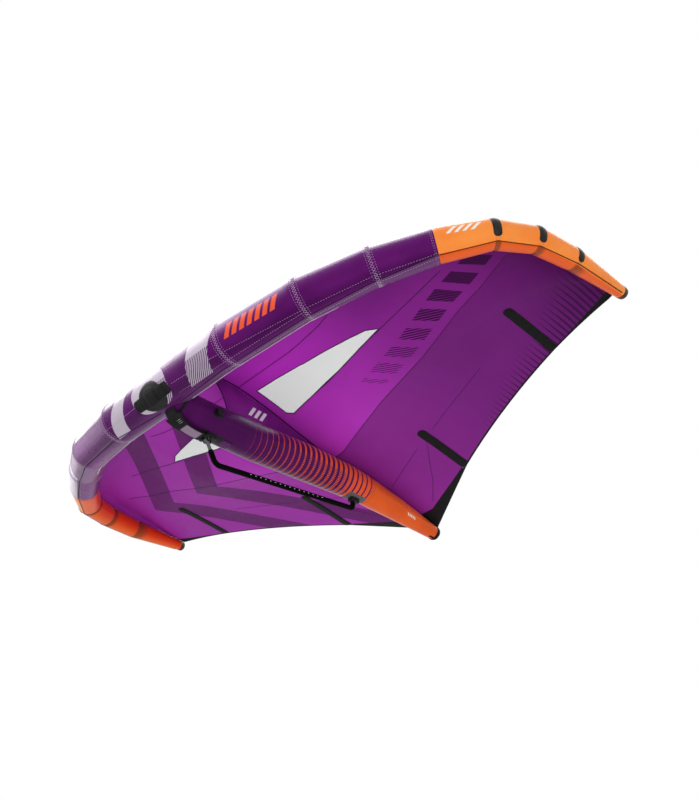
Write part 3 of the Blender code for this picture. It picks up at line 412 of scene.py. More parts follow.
class Tube:
    """An inflated tube: rings at stations along a middle line, mitred where it bends."""

    centres: Sequence[Vector]
    radii: Sizes
    spokes: Sequence[tuple[Vector, Vector, Vector, float]]
    marks: Sizes

    def spoke(self, station: int, turn: float) -> Vector:
        """The way from a station's centre to its skin at a turn in degrees."""
        side, top, across, stretch = self.spokes[station]
        angle = math.radians(turn)
        way = side * math.cos(angle) + top * math.sin(angle)
        return way + across * way.dot(across) * stretch

    def skin(self, station: int, share: float, turn: float, lift: float) -> Vector:
        """The point over the skin, a share of the way from a station to the next."""
        ends = []
        for k in (station, station + 1):
            ends.append(self.centres[k] + self.spoke(k, turn) * (self.radii[k] + lift))
        return ends[0].lerp(ends[1], share)

    def at(self, mark: float, turn: float, lift: float = 0.0) -> Vector:
        """The point over the tube's skin.

        Args:
            mark: how far out or back the ring's middle is.
            turn: the turn round the tube in degrees.
            lift: the height over the skin.

        Returns:
            The point.
        """
        return self.skin(*locate(mark, self.marks), turn, lift)

    def hoop_at(self, mark: float, count: int = 48, step: float = 0.02) -> "Line":
        """A line round the tube."""
        return Line(self.at, [(mark, 360 * k / count) for k in range(count + 1)], step)

    def core(self, marks: Sequence[float], sides: int) -> Object:
        """A cutting tool as big as the tube, a seat's gap over its skin."""
        rings = [[self.at(mark, 360 * k / sides, SEAT) for k in range(sides)] for mark in marks]
        return Pattern("core").tube(rings, lambda i, j: (0.0, 0.0)).shape()


@dataclass
class Line:
    """A line drawn on a surface, for tapes, piping and thread."""

    surface: SurfaceMap
    places: Sequence[Pair]
    step: float = 0.012

    def points(self, lift: float = 0.0) -> list[tuple[Vector, Vector]]:
        """The line's points at a lift over the surface, a step apart, each with its outward way."""
        found = []
        for (u0, v0), (u1, v1) in zip(self.places, self.places[1:]):
            reach = (self.surface(u1, v1, 0.0) - self.surface(u0, v0, 0.0)).length
            count = max(round(reach / self.step), 1)
            found += [(u0 + (u1 - u0) * k / count, v0 + (v1 - v0) * k / count) for k in range(count)]
        made = []
        for u, v in [*found, self.places[-1]]:
            base, over = self.surface(u, v, lift), self.surface(u, v, lift + 0.002)
            made.append((base, (over - base).normalized()))
        return made


@dataclass(frozen=True)
class Stitch:
    """A kind of stitching: a stitch's length, from one to the next, and the thread's width."""

    length: float
    pitch: float
    width: float


def add_tape(pattern: Pattern, line: Line, width: float, thickness: float, lift: float) -> None:
    """Adds a flat tape with eased edges along a line."""
    spots = line.points(lift)
    path = [point for point, _ in spots]
    rings = []
    for k, (point, normal) in enumerate(spots):
        side = normal.cross(heading(path, k)).normalized() * width / 2
        over = normal * thickness
        rings.append([point - side, point - side * 0.86 + over, point + side * 0.86 + over, point + side])
    pattern.tube(rings, lambda i, j: (i * line.step, j * width / 4))


def add_cord(pattern: Pattern, path: Sequence[Vector], radius: float, sides: int = 8) -> None:
    """Adds a round cord along a path."""
    rings = swept_rings(path, [radius] * len(path), sides)
    pattern.tube(rings, lambda i, j: (i * 0.01, j * radius))


def add_stitches(pattern: Pattern, line: Line, stitch: Stitch) -> None:
    """Adds a row of separate stitches along a line."""
    spots = line.points(0.0002)
    passed, due = 0.0, 0.0
    for (a, normal_a), (b, normal_b) in zip(spots, spots[1:]):
        reach = (b - a).length
        way = (b - a).normalized() if reach > 1e-6 else Vector((1, 0, 0))
        while due < passed + reach:
            middle = a + way * (due - passed)
            normal = normal_a.lerp(normal_b, (due - passed) / reach).normalized()
            side = normal.cross(way).normalized() * stitch.width / 2
            high = normal * stitch.width * 0.7
            end = way * stitch.length / 2
            start = len(pattern.points)
            pattern.points += [middle + x for x in (-end, side, end, -side, high, -high)]
            for p, q in ((0, 1), (1, 2), (2, 3), (3, 0)):
                pattern.face((start + p, start + q, start + 4))
                pattern.face((start + q, start + p, start + 5))
            due += stitch.pitch
        passed += reach


def add_zigzag(pattern: Pattern, line: Line, reach: float, pitch: float, radius: float) -> None:
    """Adds a thread that runs from side to side along a line."""
    spots = line.points(radius * 0.6)
    path, passed, due, lean = [], 0.0, 0.0, reach
    for (a, normal), (b, _) in zip(spots, spots[1:]):
        length = (b - a).length
        way = (b - a).normalized()
        while due < passed + length:
            path.append(a + way * (due - passed) + normal.cross(way).normalized() * lean)
            lean = -lean
            due += pitch
        passed += length
    pattern.tube(swept_rings(path, [radius] * len(path), 4), lambda i, j: (i * pitch, j * radius))


# ---------------------------------------------------------------- finishes


class Wire:
    """A value on its way through a material's nodes, which can be summed like a number."""

    def __init__(self, loom: "Loom", socket: bpy.types.NodeSocket) -> None:
        """Keeps the socket that the value comes from."""
        self.loom, self.socket = loom, socket

    def __add__(self, other: "Value") -> "Wire":
        """The sum."""
        return self.loom.maths("ADD", self, other)

    def __sub__(self, other: "Value") -> "Wire":
        """The difference."""
        return self.loom.maths("SUBTRACT", self, other)

    def __mul__(self, other: "Value") -> "Wire":
        """The product."""
        return self.loom.maths("MULTIPLY", self, other)

    def __truediv__(self, other: "Value") -> "Wire":
        """The quotient."""
        return self.loom.maths("DIVIDE", self, other)

    def __or__(self, other: "Value") -> "Wire":
        """Two covers together, at most 1."""
        return self.loom.maths("ADD", self, other, clamp=True)

    def __abs__(self) -> "Wire":
        """The value without its sign."""
        return self.loom.maths("ABSOLUTE", self)

    def rise(self, low: float, high: float) -> "Wire":
        """0 below low and 1 above high, smoothly."""
        node = self.loom.add("ShaderNodeMapRange", interpolation_type="SMOOTHSTEP")
        return self.loom.fill(node, range(5), (self, low, high, 0.0, 1.0), 0)

    def band(self, low: float, high: float, soft: float = 0.001) -> "Wire":
        """1 between low and high, with soft ends."""
        up, down = (self.rise(edge - soft, edge + soft) for edge in (low, high))
        return self.loom.maths("SUBTRACT", up, down, clamp=True)

    def stripes(self, period: float, share: "Value", shift: float = 0.0) -> "Wire":
        """1 on a share of each period."""
        part = self.loom.maths("FRACT", self * (1 / period) + shift)
        return self.loom.maths("LESS_THAN", part, share)

    def curve(self, points: Pairs, reach: float = 2.0) -> "Wire":
        """The height over this of a polyline whose points lie between 0 and reach."""
        node = self.loom.add("ShaderNodeFloatCurve")
        line = node.mapping.curves[0]
        while len(line.points) < len(points):
            line.points.new(0.5, 0.5)
        for handle, (x, height) in zip(line.points, points):
            handle.location = (x / reach, height / reach)
            handle.handle_type = "VECTOR"
        node.mapping.use_clip = False
        node.mapping.update()
        return self.loom.fill(node, ["Value"], [self * (1 / reach)], 0) * reach


Value = Union[Wire, float, tuple]


class Loom:
    """Lays out the nodes of one material."""

    def __init__(self, name: str) -> None:
        """Starts a material with one plain shader."""
        self.material = bpy.data.materials.new(name)
        self.material.use_nodes = True
        self.tree = self.material.node_tree
        self.tree.nodes.clear()
        self.shader = self.add("ShaderNodeBsdfPrincipled")
        end = self.add("ShaderNodeOutputMaterial")
        self.tree.links.new(self.shader.outputs[0], end.inputs[0])

    def add(self, kind: str, **settings: object) -> bpy.types.Node:
        """Adds a node with these settings."""
        node = self.tree.nodes.new(kind)
        for key, value in settings.items():
            setattr(node, key, value)
        return node

    def fill(self, node: bpy.types.Node, keys: Iterable, values: Iterable[Value], output: int) -> Wire:
        """Links or sets a node's inputs, and hands over one of its outputs."""
        for key, value in zip(keys, values):
            if isinstance(value, Wire):
                self.tree.links.new(value.socket, node.inputs[key])
            else:
                node.inputs[key].default_value = value
        return Wire(self, node.outputs[output])

    def maths(self, operation: str, *values: Value, clamp: bool = False) -> Wire:
        """The result of one sum."""
        node = self.add("ShaderNodeMath", operation=operation, use_clamp=clamp)
        return self.fill(node, range(3), values, 0)

    def total(self, *covers: Wire) -> Wire:
        """Several covers together, at most 1."""
        return functools.reduce(operator.or_, covers)

    def blend(self, share: Value, a: Value, b: Value) -> Wire:
        """Colour a where share is 0 and b where it is 1."""
        return self.fill(self.add("ShaderNodeMix", data_type="RGBA"), (0, 6, 7), (share, a, b), 2)

    def either(self, share: Value, a: Value, b: Value) -> Wire:
        """Value a where share is 0 and b where it is 1."""
        return self.fill(self.add("ShaderNodeMix", data_type="FLOAT"), (0, 2, 3), (share, a, b), 0)

    def cloth_place(self) -> tuple[Wire, Wire]:
        """The two coordinates on the flat cloth."""
        flat = Wire(self, self.add("ShaderNodeUVMap", uv_map="cloth").outputs[0])
        split = self.add("ShaderNodeSeparateXYZ")
        return self.fill(split, (0,), (flat,), 0), Wire(self, split.outputs[1])

    def noise(self, scale: float, detail: float = 2.0, stretch: tuple = (1.0, 1.0, 1.0)) -> Wire:
        """Soft random cover, laid over the place in the frame, which may be stretched first."""
        place = Wire(self, self.add("ShaderNodeTexCoord").outputs["Object"])
        if stretch != (1.0, 1.0, 1.0):
            place = self.fill(self.add("ShaderNodeMapping"), ("Vector", "Scale"), (place, stretch), 0)
        node = self.add("ShaderNodeTexNoise")
        return self.fill(node, ("Vector", "Scale", "Detail"), (place, scale, detail), 0)

    def weave(self, u: Wire, v: Wire, pitch: float) -> Wire:
        """A plain weave's height over the flat cloth."""
        a, b = (self.maths("SINE", x * (math.tau / pitch)) for x in (u, v))
        return a * b

    def dress(
        self,
        colour: Value,
        roughness: Value,
        height: Optional[Wire] = None,
        depth: float = 0.0005,
        strength: float = 0.5,
    ) -> Material:
        """Feeds the shader and hands over the material.

        Args:
            colour: the base colour.
            roughness: how dull it is.
            height: the relief, if any.
            depth: the relief's depth in metres.
            strength: how strongly it shows.

        Returns:
            The finished material.
        """
        self.fill(self.shader, ("Base Color", "Roughness"), (colour, roughness), 0)
        if height is not None:
            keys = ("Strength", "Distance", "Height")
            bump = self.fill(self.add("ShaderNodeBump"), keys, (strength, depth, height), 0)
            self.fill(self.shader, ("Normal",), (bump,), 0)
        return self.material


def finish_gloss(loom: Loom, level: float, tint: tuple = (1.0, 1.0, 1.0, 1.0), sheen: float = 0.0) -> None:
    """Sets how strongly a surface shines, its gloss's colour, and its bloom at grazing light."""
    settings = (
        ("Specular IOR Level", level), ("Specular Tint", tint), ("Sheen Weight", sheen), ("Sheen Roughness", 0.35),
    )
    for name, value in settings:
        loom.shader.inputs[name].default_value = value


@dataclass(frozen=True)
class Slant:
    """A slanted band across a tube: where its middle crosses the front, its width and its reach round the tube."""

    out: float
    width: float
    turn_from: float
    turn_to: float


@dataclass(frozen=True)
class TubeCloth:
    """Woven polyester that holds the air's pressure: printed, glossy at a slant and finely ribbed."""

    name: str
    body: tuple
    shade: tuple
    tint: tuple = paint(150, 60, 158)
    gloss: float = 0.30

    def start(self) -> tuple[Loom, Wire, Wire, Wire]:
        """Begins the material: loom, place along, angle round in degrees, and the mottled body colour."""
        loom = Loom(self.name)
        along, around = loom.cloth_place()
        turn = around * 360.0
        mottle = loom.noise(7.0, 3.0).rise(0.35, 0.68)
        colour = loom.blend(mottle * 0.45, self.body, self.shade)
        return loom, along, turn, colour

    def end(self, loom: Loom, colour: Wire, along: Wire, turn: Wire) -> Material:
        """Adds the ribbing, soft creases and gloss, and hands over the material."""
        girth = turn * 0.0016
        weave = loom.weave(along, girth, 0.0022)
        creases = loom.noise(12.0, 4.0)
        height = weave * 0.015 + creases
        rough = loom.noise(40.0, 3.0) * 0.16 + (self.gloss - 0.08)
        finish_gloss(loom, 0.38, self.tint, 0.04)
        return loom.dress(colour, rough, height, 0.004, 0.3)

    def bars(self, loom: Loom, slid: Wire, middles: Sequence[float], half: float) -> Wire:
        """A row of bars across the tube at these places."""
        return loom.total(*(slid.band(middle - half, middle + half) for middle in middles))


@dataclass(frozen=True)
class LeadingEdgeCloth(TubeCloth):
    """The purple middle of the leading edge, with slanted grey bands and orange bars printed on it, a painted shade
    along the seam's fold, a painted sheen on the right half's lower strip and painted light on the left end; the widest
    grey band, at the left end, is partly a painted highlight.
    """

    pale: tuple = paint(206, 197, 209)
    orange: tuple = paint(238, 92, 50)
    # Greyish lilac for the right half's lower strip under the seam: a painted sheen.
    under: tuple = paint(132, 96, 136)
    # Colour of the painted shade along the seam's fold.
    fold_shade_paint: tuple = paint(48, 6, 54)
    far: tuple = paint(130, 44, 134)
    far_under: tuple = paint(112, 0, 120)
    bands: tuple[Slant, ...] = (
        Slant(0.310, 0.144, 120, 268),
        Slant(-0.258, 0.092, 120, 270),
        # The widest band, at the left end, is partly a grey print panel and partly a painted highlight of the glare on
        # the tube's front there.
        Slant(-1.150, 0.340, 120, 246),
    )
    slope: float = 0.0009
    panel_out: float = -0.022
    panel_reach: float = 0.120
    bar_outs: Sizes = (0.476, 0.512, 0.548, 0.584, 0.620, 0.656, 0.692)
    left_bar_outs: Sizes = (-0.862, -0.894, -0.926, -0.958, -0.990)
    seam_drop: Pairs = (
        (0.0, 0.0), (0.060, 0.080), (0.374, 0.154), (0.780, 0.173), (1.061, 0.120), (1.304, 0.0),
    )

    def material(self) -> Material:
        """The finished cloth."""
        loom, along, turn, colour = self.start()
        lean = turn * self.slope + -self.slope * 210
        slid = along + lean
        seam = abs(along) * -17.0 + 272.0
        seam = along.curve(self.seam_drop, 2.0) * 100.0 + seam
        below = (turn - seam).rise(-1.0, 1.0)
        # Painted light: above the seam the left end is painted a lighter purple. Below the seam it takes a deep
        # saturated purple.
        left_end = along.rise(-0.35, -0.7) * 0.8
        colour = loom.blend(left_end, colour, loom.blend(below, self.far, self.far_under))
        # Painted shade: darker in a band along the seam's fold, where shade falls in the crease.
        painted_fold_shade = turn.band(238.0, 262.0, 16.0) * 0.55
        colour = loom.blend(painted_fold_shade, colour, self.fold_shade_paint)
        # Painted sheen: the lower strip under the seam turns greyish lilac on the right half, for the highlight along
        # the tube's lower limb.
        painted_sheen_strip = along.rise(-0.3, 0.3) * 0.38
        colour = loom.blend(below * painted_sheen_strip, colour, self.under)
        fine = (slid + turn * 0.0008).stripes(0.0125, 0.52)
        covers = []
        for slant in self.bands:
            low, high = slant.out - slant.width / 2, slant.out + slant.width / 2
            cover = slid.band(low, high) * turn.band(slant.turn_from, slant.turn_to, 1.0)
            covers.append(cover)
        across = (along - self.panel_out) / self.panel_reach
        round_ = (turn - 216.0) / 52.0
        powers = [loom.maths("POWER", abs(x), 2.8) for x in (across, round_)]
        covers.append(loom.maths("ADD", *powers).rise(1.03, 0.97))
        hatched = turn.band(206.0, 300.0) * along.rise(0.03, 0.031)
        pale = loom.total(*covers) * loom.either(hatched, 1.0, fine)
        colour = loom.blend(pale * 0.86, colour, self.pale)
        bars = self.bars(loom, slid, self.bar_outs, 0.0115) * turn.band(180.0, 215.0, 0.8)
        left = self.bars(loom, slid, self.left_bar_outs, 0.009) * turn.band(140.0, 186.0, 0.8)
        return self.end(loom, loom.blend(bars | left, colour, self.orange), along, turn)


@dataclass(frozen=True)
class TipCloth(TubeCloth):
    """The orange ends of the leading edge, deeper underneath, with darker hoops at the seams and white bars, and a
    redder painted shade on the side that faces the canopy.
    """

    white: tuple = paint(250, 244, 238)
    under: tuple = paint(244, 100, 38)
    # Deeper red for the side that faces the canopy: painted shade.
    inner: tuple = paint(240, 56, 24)
    film: tuple = paint(118, 58, 36)
    bar_outs: Sizes = (1.372, 1.396, 1.420, 1.444)

    def material(self) -> Material:
        """The finished cloth."""
        loom, along, turn, colour = self.start()
        below = turn.rise(247.0, 251.0)
        colour = loom.blend(below, colour, self.under)
        # Painted shade: the side that faces the canopy is painted a deeper red, for the shade and the canopy's
        # reflected light there.
        inner = loom.maths("MAXIMUM", turn.rise(285.0, 335.0), turn.rise(56.0, 50.0))
        colour = loom.blend(inner, colour, self.inner)
        out = abs(along)
        hoops = out.band(
            1.483, 1.497, 0.002) | out.band(1.57, 1.579, 0.002) | out.band(1.6072, 1.6106, 0.001
        )
        behind = below | turn.rise(56.0, 50.0)
        colour = loom.blend(hoops * behind * 0.72, colour, self.film)
        middles = [out_ + 0.0009 * 160 for out_ in self.bar_outs]
        slid = turn * 0.0009 + along
        bars = self.bars(loom, slid, middles, 0.006) * turn.band(160.0, 190.0, 1.0)
        return self.end(loom, loom.blend(bars, colour, self.white), along, turn)


@dataclass(frozen=True)
class StrutCloth(TubeCloth):
    """The strut's purple cloth: orange hoops that widen towards the tail, broken into dashes underneath."""

    dots: tuple = paint(240, 92, 40)
    hoops_from: float = 0.37
    hoops_to: float = 1.231
    hoop_pitch: float = 0.0338

    def material(self) -> Material:
        """The finished cloth."""
        loom, along, turn, colour = self.start()
        share = along * 0.93 - 0.36
        hoops = along.stripes(self.hoop_pitch, share)
        dashes = turn.stripes(5.6, 0.52)
        whole = turn.rise(110.0, 96.0) * along.rise(0.55, 0.75)
        whole = whole | along.rise(1.0, 1.12)
        printed = hoops * (dashes | whole) * along.rise(self.hoops_from, self.hoops_from + 0.12)
        return self.end(loom, loom.blend(printed, colour, self.dots), along, turn)


@dataclass(frozen=True)
class TailCloth(TubeCloth):
    """The strut's orange end, with a few small white bars."""

    white: tuple = paint(250, 240, 234)

    def material(self) -> Material:
        """The finished cloth."""
        loom, along, turn, colour = self.start()
        slid = turn * -0.0006 + along
        middles = [1.44 + 0.013 * k for k in range(5)]
        bars = self.bars(loom, slid, middles, 0.0035) * turn.band(112.0, 127.0, 0.8)
        return self.end(loom, loom.blend(bars, colour, self.white), along, turn)


@dataclass(frozen=True)
class CanopyCloth:
    """Thin ripstop cloth: panels of different purple, printed bands, and dark lines that run into the trailing edge,
    with painted shade towards the tip and painted light on the front panel's middle and over the whole left half.
    """

    name: str
    half: Half
    front_panel: tuple = paint(128, 34, 136)
    front_middle: tuple = paint(204, 52, 212)
    bright_panel: tuple = paint(190, 54, 196)
    middle_panel: tuple = paint(136, 38, 142)
    rear_middle: tuple = paint(146, 42, 150)
    rear_panel: tuple = paint(118, 33, 124)
    tip_shade: tuple = paint(80, 18, 88)
    print_shade: tuple = paint(36, 6, 42)
    band_shade: tuple = paint(92, 18, 96)
    rear_seam: Pairs = ((0.0, 1.010), *REAR_SEAM, (1.600, 0.660))
    lines_from: Pairs = (
        (0.0, 1.70), (0.610, 1.41), (0.780, 1.29), (0.890, 1.23), (1.000, 1.17), (1.160, 1.12),
        (1.260, 1.05), (1.360, 0.99), (1.450, 0.93), (1.600, 0.88),
    )
    line_pitch: float = 0.0262

    def material(self) -> Material:
        """The finished cloth."""
        loom = Loom(self.name)
        out, back = loom.cloth_place()
        rear = out.curve(self.rear_seam, 2.0)
        aft = (back - rear).rise(-0.002, 0.002)
        inner = out.rise(0.95, 0.15)
        forward = back.rise(0.36, 0.62)
        bright = loom.blend(inner * forward, self.middle_panel, self.bright_panel)
        # The front panel lightens towards the middle. This is partly the cloth's colour and partly painted light that
        # offsets the shade under the leading edge.
        front = loom.blend(inner, self.front_panel, self.front_middle)
        near = loom.blend(back.rise(0.62, 0.4), bright, front)
        colour = loom.blend(aft, near, loom.blend(inner, self.rear_panel, self.rear_middle))
        # Painted shade: the cloth darkens towards the tip, more strongly on the right half.
        tip = out.rise(1.0, 1.6)
        right = self.half is Half.RIGHT
        colour = loom.blend(tip * (0.8 if right else 0.3), colour, self.tip_shade)
        # A random mottle in the same dark colour.
        mottle = loom.noise(2.2, 3.0)
        colour = loom.blend(mottle.rise(0.4, 0.75) * 0.18, colour, self.tip_shade)
        if right:
            reach = back - out.curve(self.lines_from, 2.0)
            share = reach.rise(0.0, 0.22) * 0.42
            lines = out.stripes(self.line_pitch, share) * out.rise(0.56, 0.7)
            colour = loom.blend(lines * 0.66, colour, self.print_shade)
            colour = loom.blend(self.bars(loom, out, rear, back) * 0.86, colour, self.print_shade)
        else:
            # Painted light: the whole left half is lightened towards the bright panel's colour.
            colour = loom.blend(0.55, colour, self.bright_panel)
            colour = loom.blend(self.chevrons(loom, out, back) * 0.86, colour, self.band_shade)
        grid = out.stripes(0.006, 0.1) | back.stripes(0.006, 0.1)
        height = grid * 0.05 + loom.noise(9.0, 3.0)
        rough = loom.noise(30.0, 2.0) * 0.14 + 0.36
        finish_gloss(loom, 0.25 if right else 0.14, paint(150, 50, 158))
        return loom.dress(colour, rough, height, 0.003, 0.3)

    def bars(self, loom: Loom, out: Wire, rear: Wire, back: Wire) -> Wire:
        """A row of slanted hatched bars that grow denser outward, between the two seams."""
        level = rear - back
        slid = level * 0.7 + out
        row = level.band(0.05, 0.16) * slid.band(0.6, 1.4)
        cells = slid.stripes(0.112, 0.6)
        density = slid.rise(0.6, 1.3) * 0.66 + 0.3
        hatch = (out * 0.9 + level).stripes(0.015, density)
        return row * cells * hatch

    def chevrons(self, loom: Loom, out: Wire, back: Wire) -> Wire:
        """Two broad darker bands that meet at a point, in plain cloth print."""
        lean = abs(back - 0.86)
        slid = lean * 0.9 + out
        return slid.band(0.76, 0.95) | slid.band(1.17, 1.36)


@dataclass(frozen=True)
class WebCloth:
    """The web's purple cloth, with a fine ripstop grid and three pale slanted bars."""

    name: str = "web_cloth"
    body: tuple = paint(112, 26, 120)
    light: tuple = paint(138, 36, 144)
    mark: tuple = paint(236, 226, 238)

    def material(self) -> Material:
        """The finished cloth."""
        loom = Loom(self.name)
        along, up = loom.cloth_place()
        colour = loom.blend(loom.noise(5.0).rise(0.35, 0.7), self.body, self.light)
        slid = up * -0.5 + along
        bars = slid.stripes(0.034, 0.56, -0.2) * slid.band(0.372, 0.469) * up.band(0.15, 0.205)
        colour = loom.blend(bars, colour, self.mark)
        grid = along.stripes(0.006, 0.1) | up.stripes(0.006, 0.1)
        finish_gloss(loom, 0.4, paint(150, 50, 158), 0.03)
        return loom.dress(colour, 0.42, grid * 0.2 + loom.noise(14.0), 0.002, 0.4)


@dataclass(frozen=True)
class WindowFilm:
    """Clear film with a faint grid of reinforcing threads, grey against the light."""

    name: str = "window_film"
    tint: tuple = paint(206, 208, 207)
    thread: tuple = paint(176, 178, 178)
    cover: float = 0.36

    def material(self) -> Material:
        """The finished film."""
        loom = Loom(self.name)
        out, back = loom.cloth_place()
        threads = out.stripes(0.011, 0.05) | back.stripes(0.011, 0.05)
        colour = loom.blend(threads * 0.35, self.tint, self.thread)
        loom.shader.inputs["Alpha"].default_value = self.cover
        finish_gloss(loom, 0.4)
        return loom.dress(colour, 0.1, loom.noise(12.0, 2.0), 0.003, 0.25)


@dataclass(frozen=True)
class Webbing:
    """Tightly woven tape and reinforcement cloth."""

    name: str
    body: tuple
    light: tuple
    pitch: float = 0.0024
    roughness: float = 0.62
    shine: float = 0.15

    def material(self) -> Material:
        """The finished webbing."""
        loom = Loom(self.name)
        along, across = loom.cloth_place()
        weave = loom.weave(along, across, self.pitch)
        fuzz = loom.noise(60.0, 3.0)
        colour = loom.blend(fuzz.rise(0.4, 0.7) * 0.5, self.body, self.light)
        rough = fuzz * 0.16 + (self.roughness - 0.08)
        finish_gloss(loom, self.shine, sheen=0.02)
        return loom.dress(colour, rough, weave + loom.noise(20.0), 0.0006, 0.5)


@dataclass(frozen=True)
class HandleWebbing:
    """The handle's strap: black borders and a light grey padded middle."""

    name: str = "handle_webbing"
    black: tuple = paint(16, 15, 16)
    grey: tuple = paint(160, 136, 162)
    grey_from: float = 0.100
    grey_to: float = 0.190
    half_width: float = 0.026

    def material(self) -> Material:
        """The finished strap."""
        loom = Loom(self.name)
        along, across = loom.cloth_place()
        middle = across.band(-self.half_width, self.half_width) * along.band(self.grey_from, self.grey_to)
        ribs = along.stripes(0.0045, 0.5)
        grey = loom.blend(ribs * 0.2, self.grey, self.black)
        finish_gloss(loom, 0.2)
        colour = loom.blend(middle, self.black, grey)
        height = loom.weave(along, across, 0.0026) + ribs * middle
        return loom.dress(colour, loom.noise(50.0) * 0.15 + 0.55, height, 0.0006, 0.5)


@dataclass(frozen=True)
class Grained:
    """A plain surface with a fine grain, rubbed or dusty in patches.

    The grain is a noise's scale and detail; the patches add where they start and are full;
    the roughness is its change in a patch and its level outside.
    """

    name: str
    body: tuple
    worn: tuple
    grain: Pair = (900.0, 2.0)
    patches: Sizes = (26.0, 4.0, 0.52, 0.75)
    share: float = 0.5
    roughness: Pair = (-0.12, 0.40)
    gloss: float = 0.3
    depth: float = 0.0002
    strength: float = 0.4

    def material(self) -> Material:
        """The finished surface."""
        loom = Loom(self.name)
        scale, detail, low, high = self.patches
        worn = loom.noise(scale, detail).rise(low, high)
        colour = loom.blend(worn * self.share, self.body, self.worn)
        finish_gloss(loom, self.gloss)
        slope, level = self.roughness
        rough = worn * slope + level
        return loom.dress(colour, rough, loom.noise(*self.grain), self.depth, self.strength)


@dataclass(frozen=True)
class GripCover:
    """The boom's soft ribbed cover, black, a little dusty."""

    name: str = "grip_cover"
    body: tuple = paint(5, 6, 5)
    light: tuple = paint(15, 16, 15)

    def material(self) -> Material:
        """The finished cover."""
        loom = Loom(self.name)
        along, around = loom.cloth_place()
        girth = around * 0.08
        turns = (along + girth, along - girth)
        ribs = [abs(loom.maths("SINE", turn * (math.pi / 0.005))) for turn in turns]
        diamonds = ribs[0] * ribs[1]
        dust = loom.noise(45.0, 4.0).rise(0.45, 0.75)
        colour = loom.blend(dust * 0.6, self.body, self.light)
        finish_gloss(loom, 0.03)
        return loom.dress(colour, dust * 0.12 + 0.6, diamonds, 0.0009, 0.7)


@dataclass(frozen=True)
class BrushedMetal:
    """Turned or drawn metal, with fine lines in its gloss."""

    name: str
    body: tuple
    roughness: float

    def material(self) -> Material:
        """The finished metal."""
        loom = Loom(self.name)
        loom.shader.inputs["Metallic"].default_value = 1.0
        lines = loom.noise(420.0, 2.0)
        soft = loom.noise(60.0).rise(0.3, 0.7)
        darker = tuple(c * 0.7 for c in self.body[:3]) + (1.0,)
        colour = loom.blend(soft * 0.4, self.body, darker)
        return loom.dress(colour, lines * 0.15 + self.roughness, lines, 0.0001, 0.3)



@dataclass(frozen=True)
class FibreStrip:
    """Pultruded fibre with long grain."""

    name: str = "fibre_strip"
    body: tuple = paint(206, 202, 184)
    grain: tuple = paint(168, 160, 136)

    def material(self) -> Material:
        """The finished strip."""
        loom = Loom(self.name)
        grain = loom.noise(1.0, 3.0, (600.0, 12.0, 600.0))
        colour = loom.blend(grain, self.body, self.grain)
        return loom.dress(colour, 0.45, grain, 0.0003, 0.4)


class Wardrobe:
    """Every finish of the wing, each made once."""

    def __init__(self) -> None:
        """Makes the materials."""
        warm = paint(255, 176, 110)
        rubber = (520.0, 3.0), (24.0, 3.0, 0.45, 0.75), 0.45, (0.18, 0.44), 0.25, 0.0005, 0.6
        twist = (700.0, 1.0), (700.0, 1.0, 0.3, 0.7), 0.4, (0.0, 0.5), 0.3, 0.0003, 0.4
        self.leading_edge = LeadingEdgeCloth("leading_edge_cloth", paint(94, 22, 102), paint(66, 12, 74)).material()
        self.tips = TipCloth("tip_cloth", paint(255, 150, 68), paint(250, 128, 50), warm, 0.34).material()
        self.strut = StrutCloth("strut_cloth", paint(84, 22, 90), paint(56, 12, 62)).material()
        self.tail = TailCloth("strut_tail_cloth", paint(238, 96, 36), paint(220, 78, 28), warm).material()
        self.canopy = {half: CanopyCloth("canopy_cloth_" + half.label, half).material() for half in Half}
        self.web = WebCloth().material()
        self.film = WindowFilm().material()
        self.black = Webbing("black_webbing_cloth", paint(18, 17, 18), paint(36, 35, 36)).material()
        self.corner = Webbing("corner_cloth", paint(14, 12, 14), paint(30, 27, 30), 0.003).material()
        self.seam_tape = Webbing("seam_tape_cloth", paint(74, 16, 80), paint(90, 24, 96), 0.002).material()
        self.piping = Webbing("piping_cloth", paint(40, 8, 46), paint(58, 16, 64), 0.002).material()
        self.tip_piping = Webbing("tip_piping_cloth", paint(96, 36, 14), paint(124, 56, 24), 0.002).material()
        # A pale piping that stands for the bright line of light between the leading edge and the canopy: painted light.
        self.painted_light_piping = Webbing("pale_piping_cloth", paint(236, 226, 238), paint(214, 196, 218), 0.002).material()
        self.strap = Webbing("reinforcing_strap", paint(92, 34, 98), paint(120, 50, 126), 0.0026).material()
        self.grey_patch = Webbing("grey_patch", paint(96, 94, 98), paint(122, 120, 124), 0.0026).material()
        self.handle = HandleWebbing().material()
        self.plastic = Grained("moulded_plastic", paint(16, 16, 17), paint(38, 38, 40)).material()
        self.neck = Grained("grey_neck", paint(96, 98, 100), paint(128, 130, 132)).material()
        self.grip = GripCover().material()
        self.tube = BrushedMetal("anodised_tube_finish", paint(96, 97, 100), 0.3).material()
        self.steel = BrushedMetal("steel_finish", paint(186, 188, 192), 0.24).material()
        self.lilac = Grained("lilac_thread", paint(208, 178, 212), paint(178, 142, 184), *twist).material()
        self.dark_thread = Grained("dark_thread", paint(60, 22, 66), paint(34, 12, 38), *twist).material()
        self.black_thread = Grained("black_thread", paint(50, 50, 52), paint(26, 26, 28), *twist).material()
        self.mark_thread = Grained("pale_thread", paint(232, 232, 232), paint(190, 190, 190), *twist).material()
        self.rubber = Grained("scuff_rubber", paint(18, 18, 19), paint(46, 46, 47), *rubber).material()
        self.fibre = FibreStrip().material()
        self.tip_cap = Grained("tip_cap_plastic", paint(62, 44, 38), paint(96, 72, 60)).material()


# ---------------------------------------------------------------- leading edge


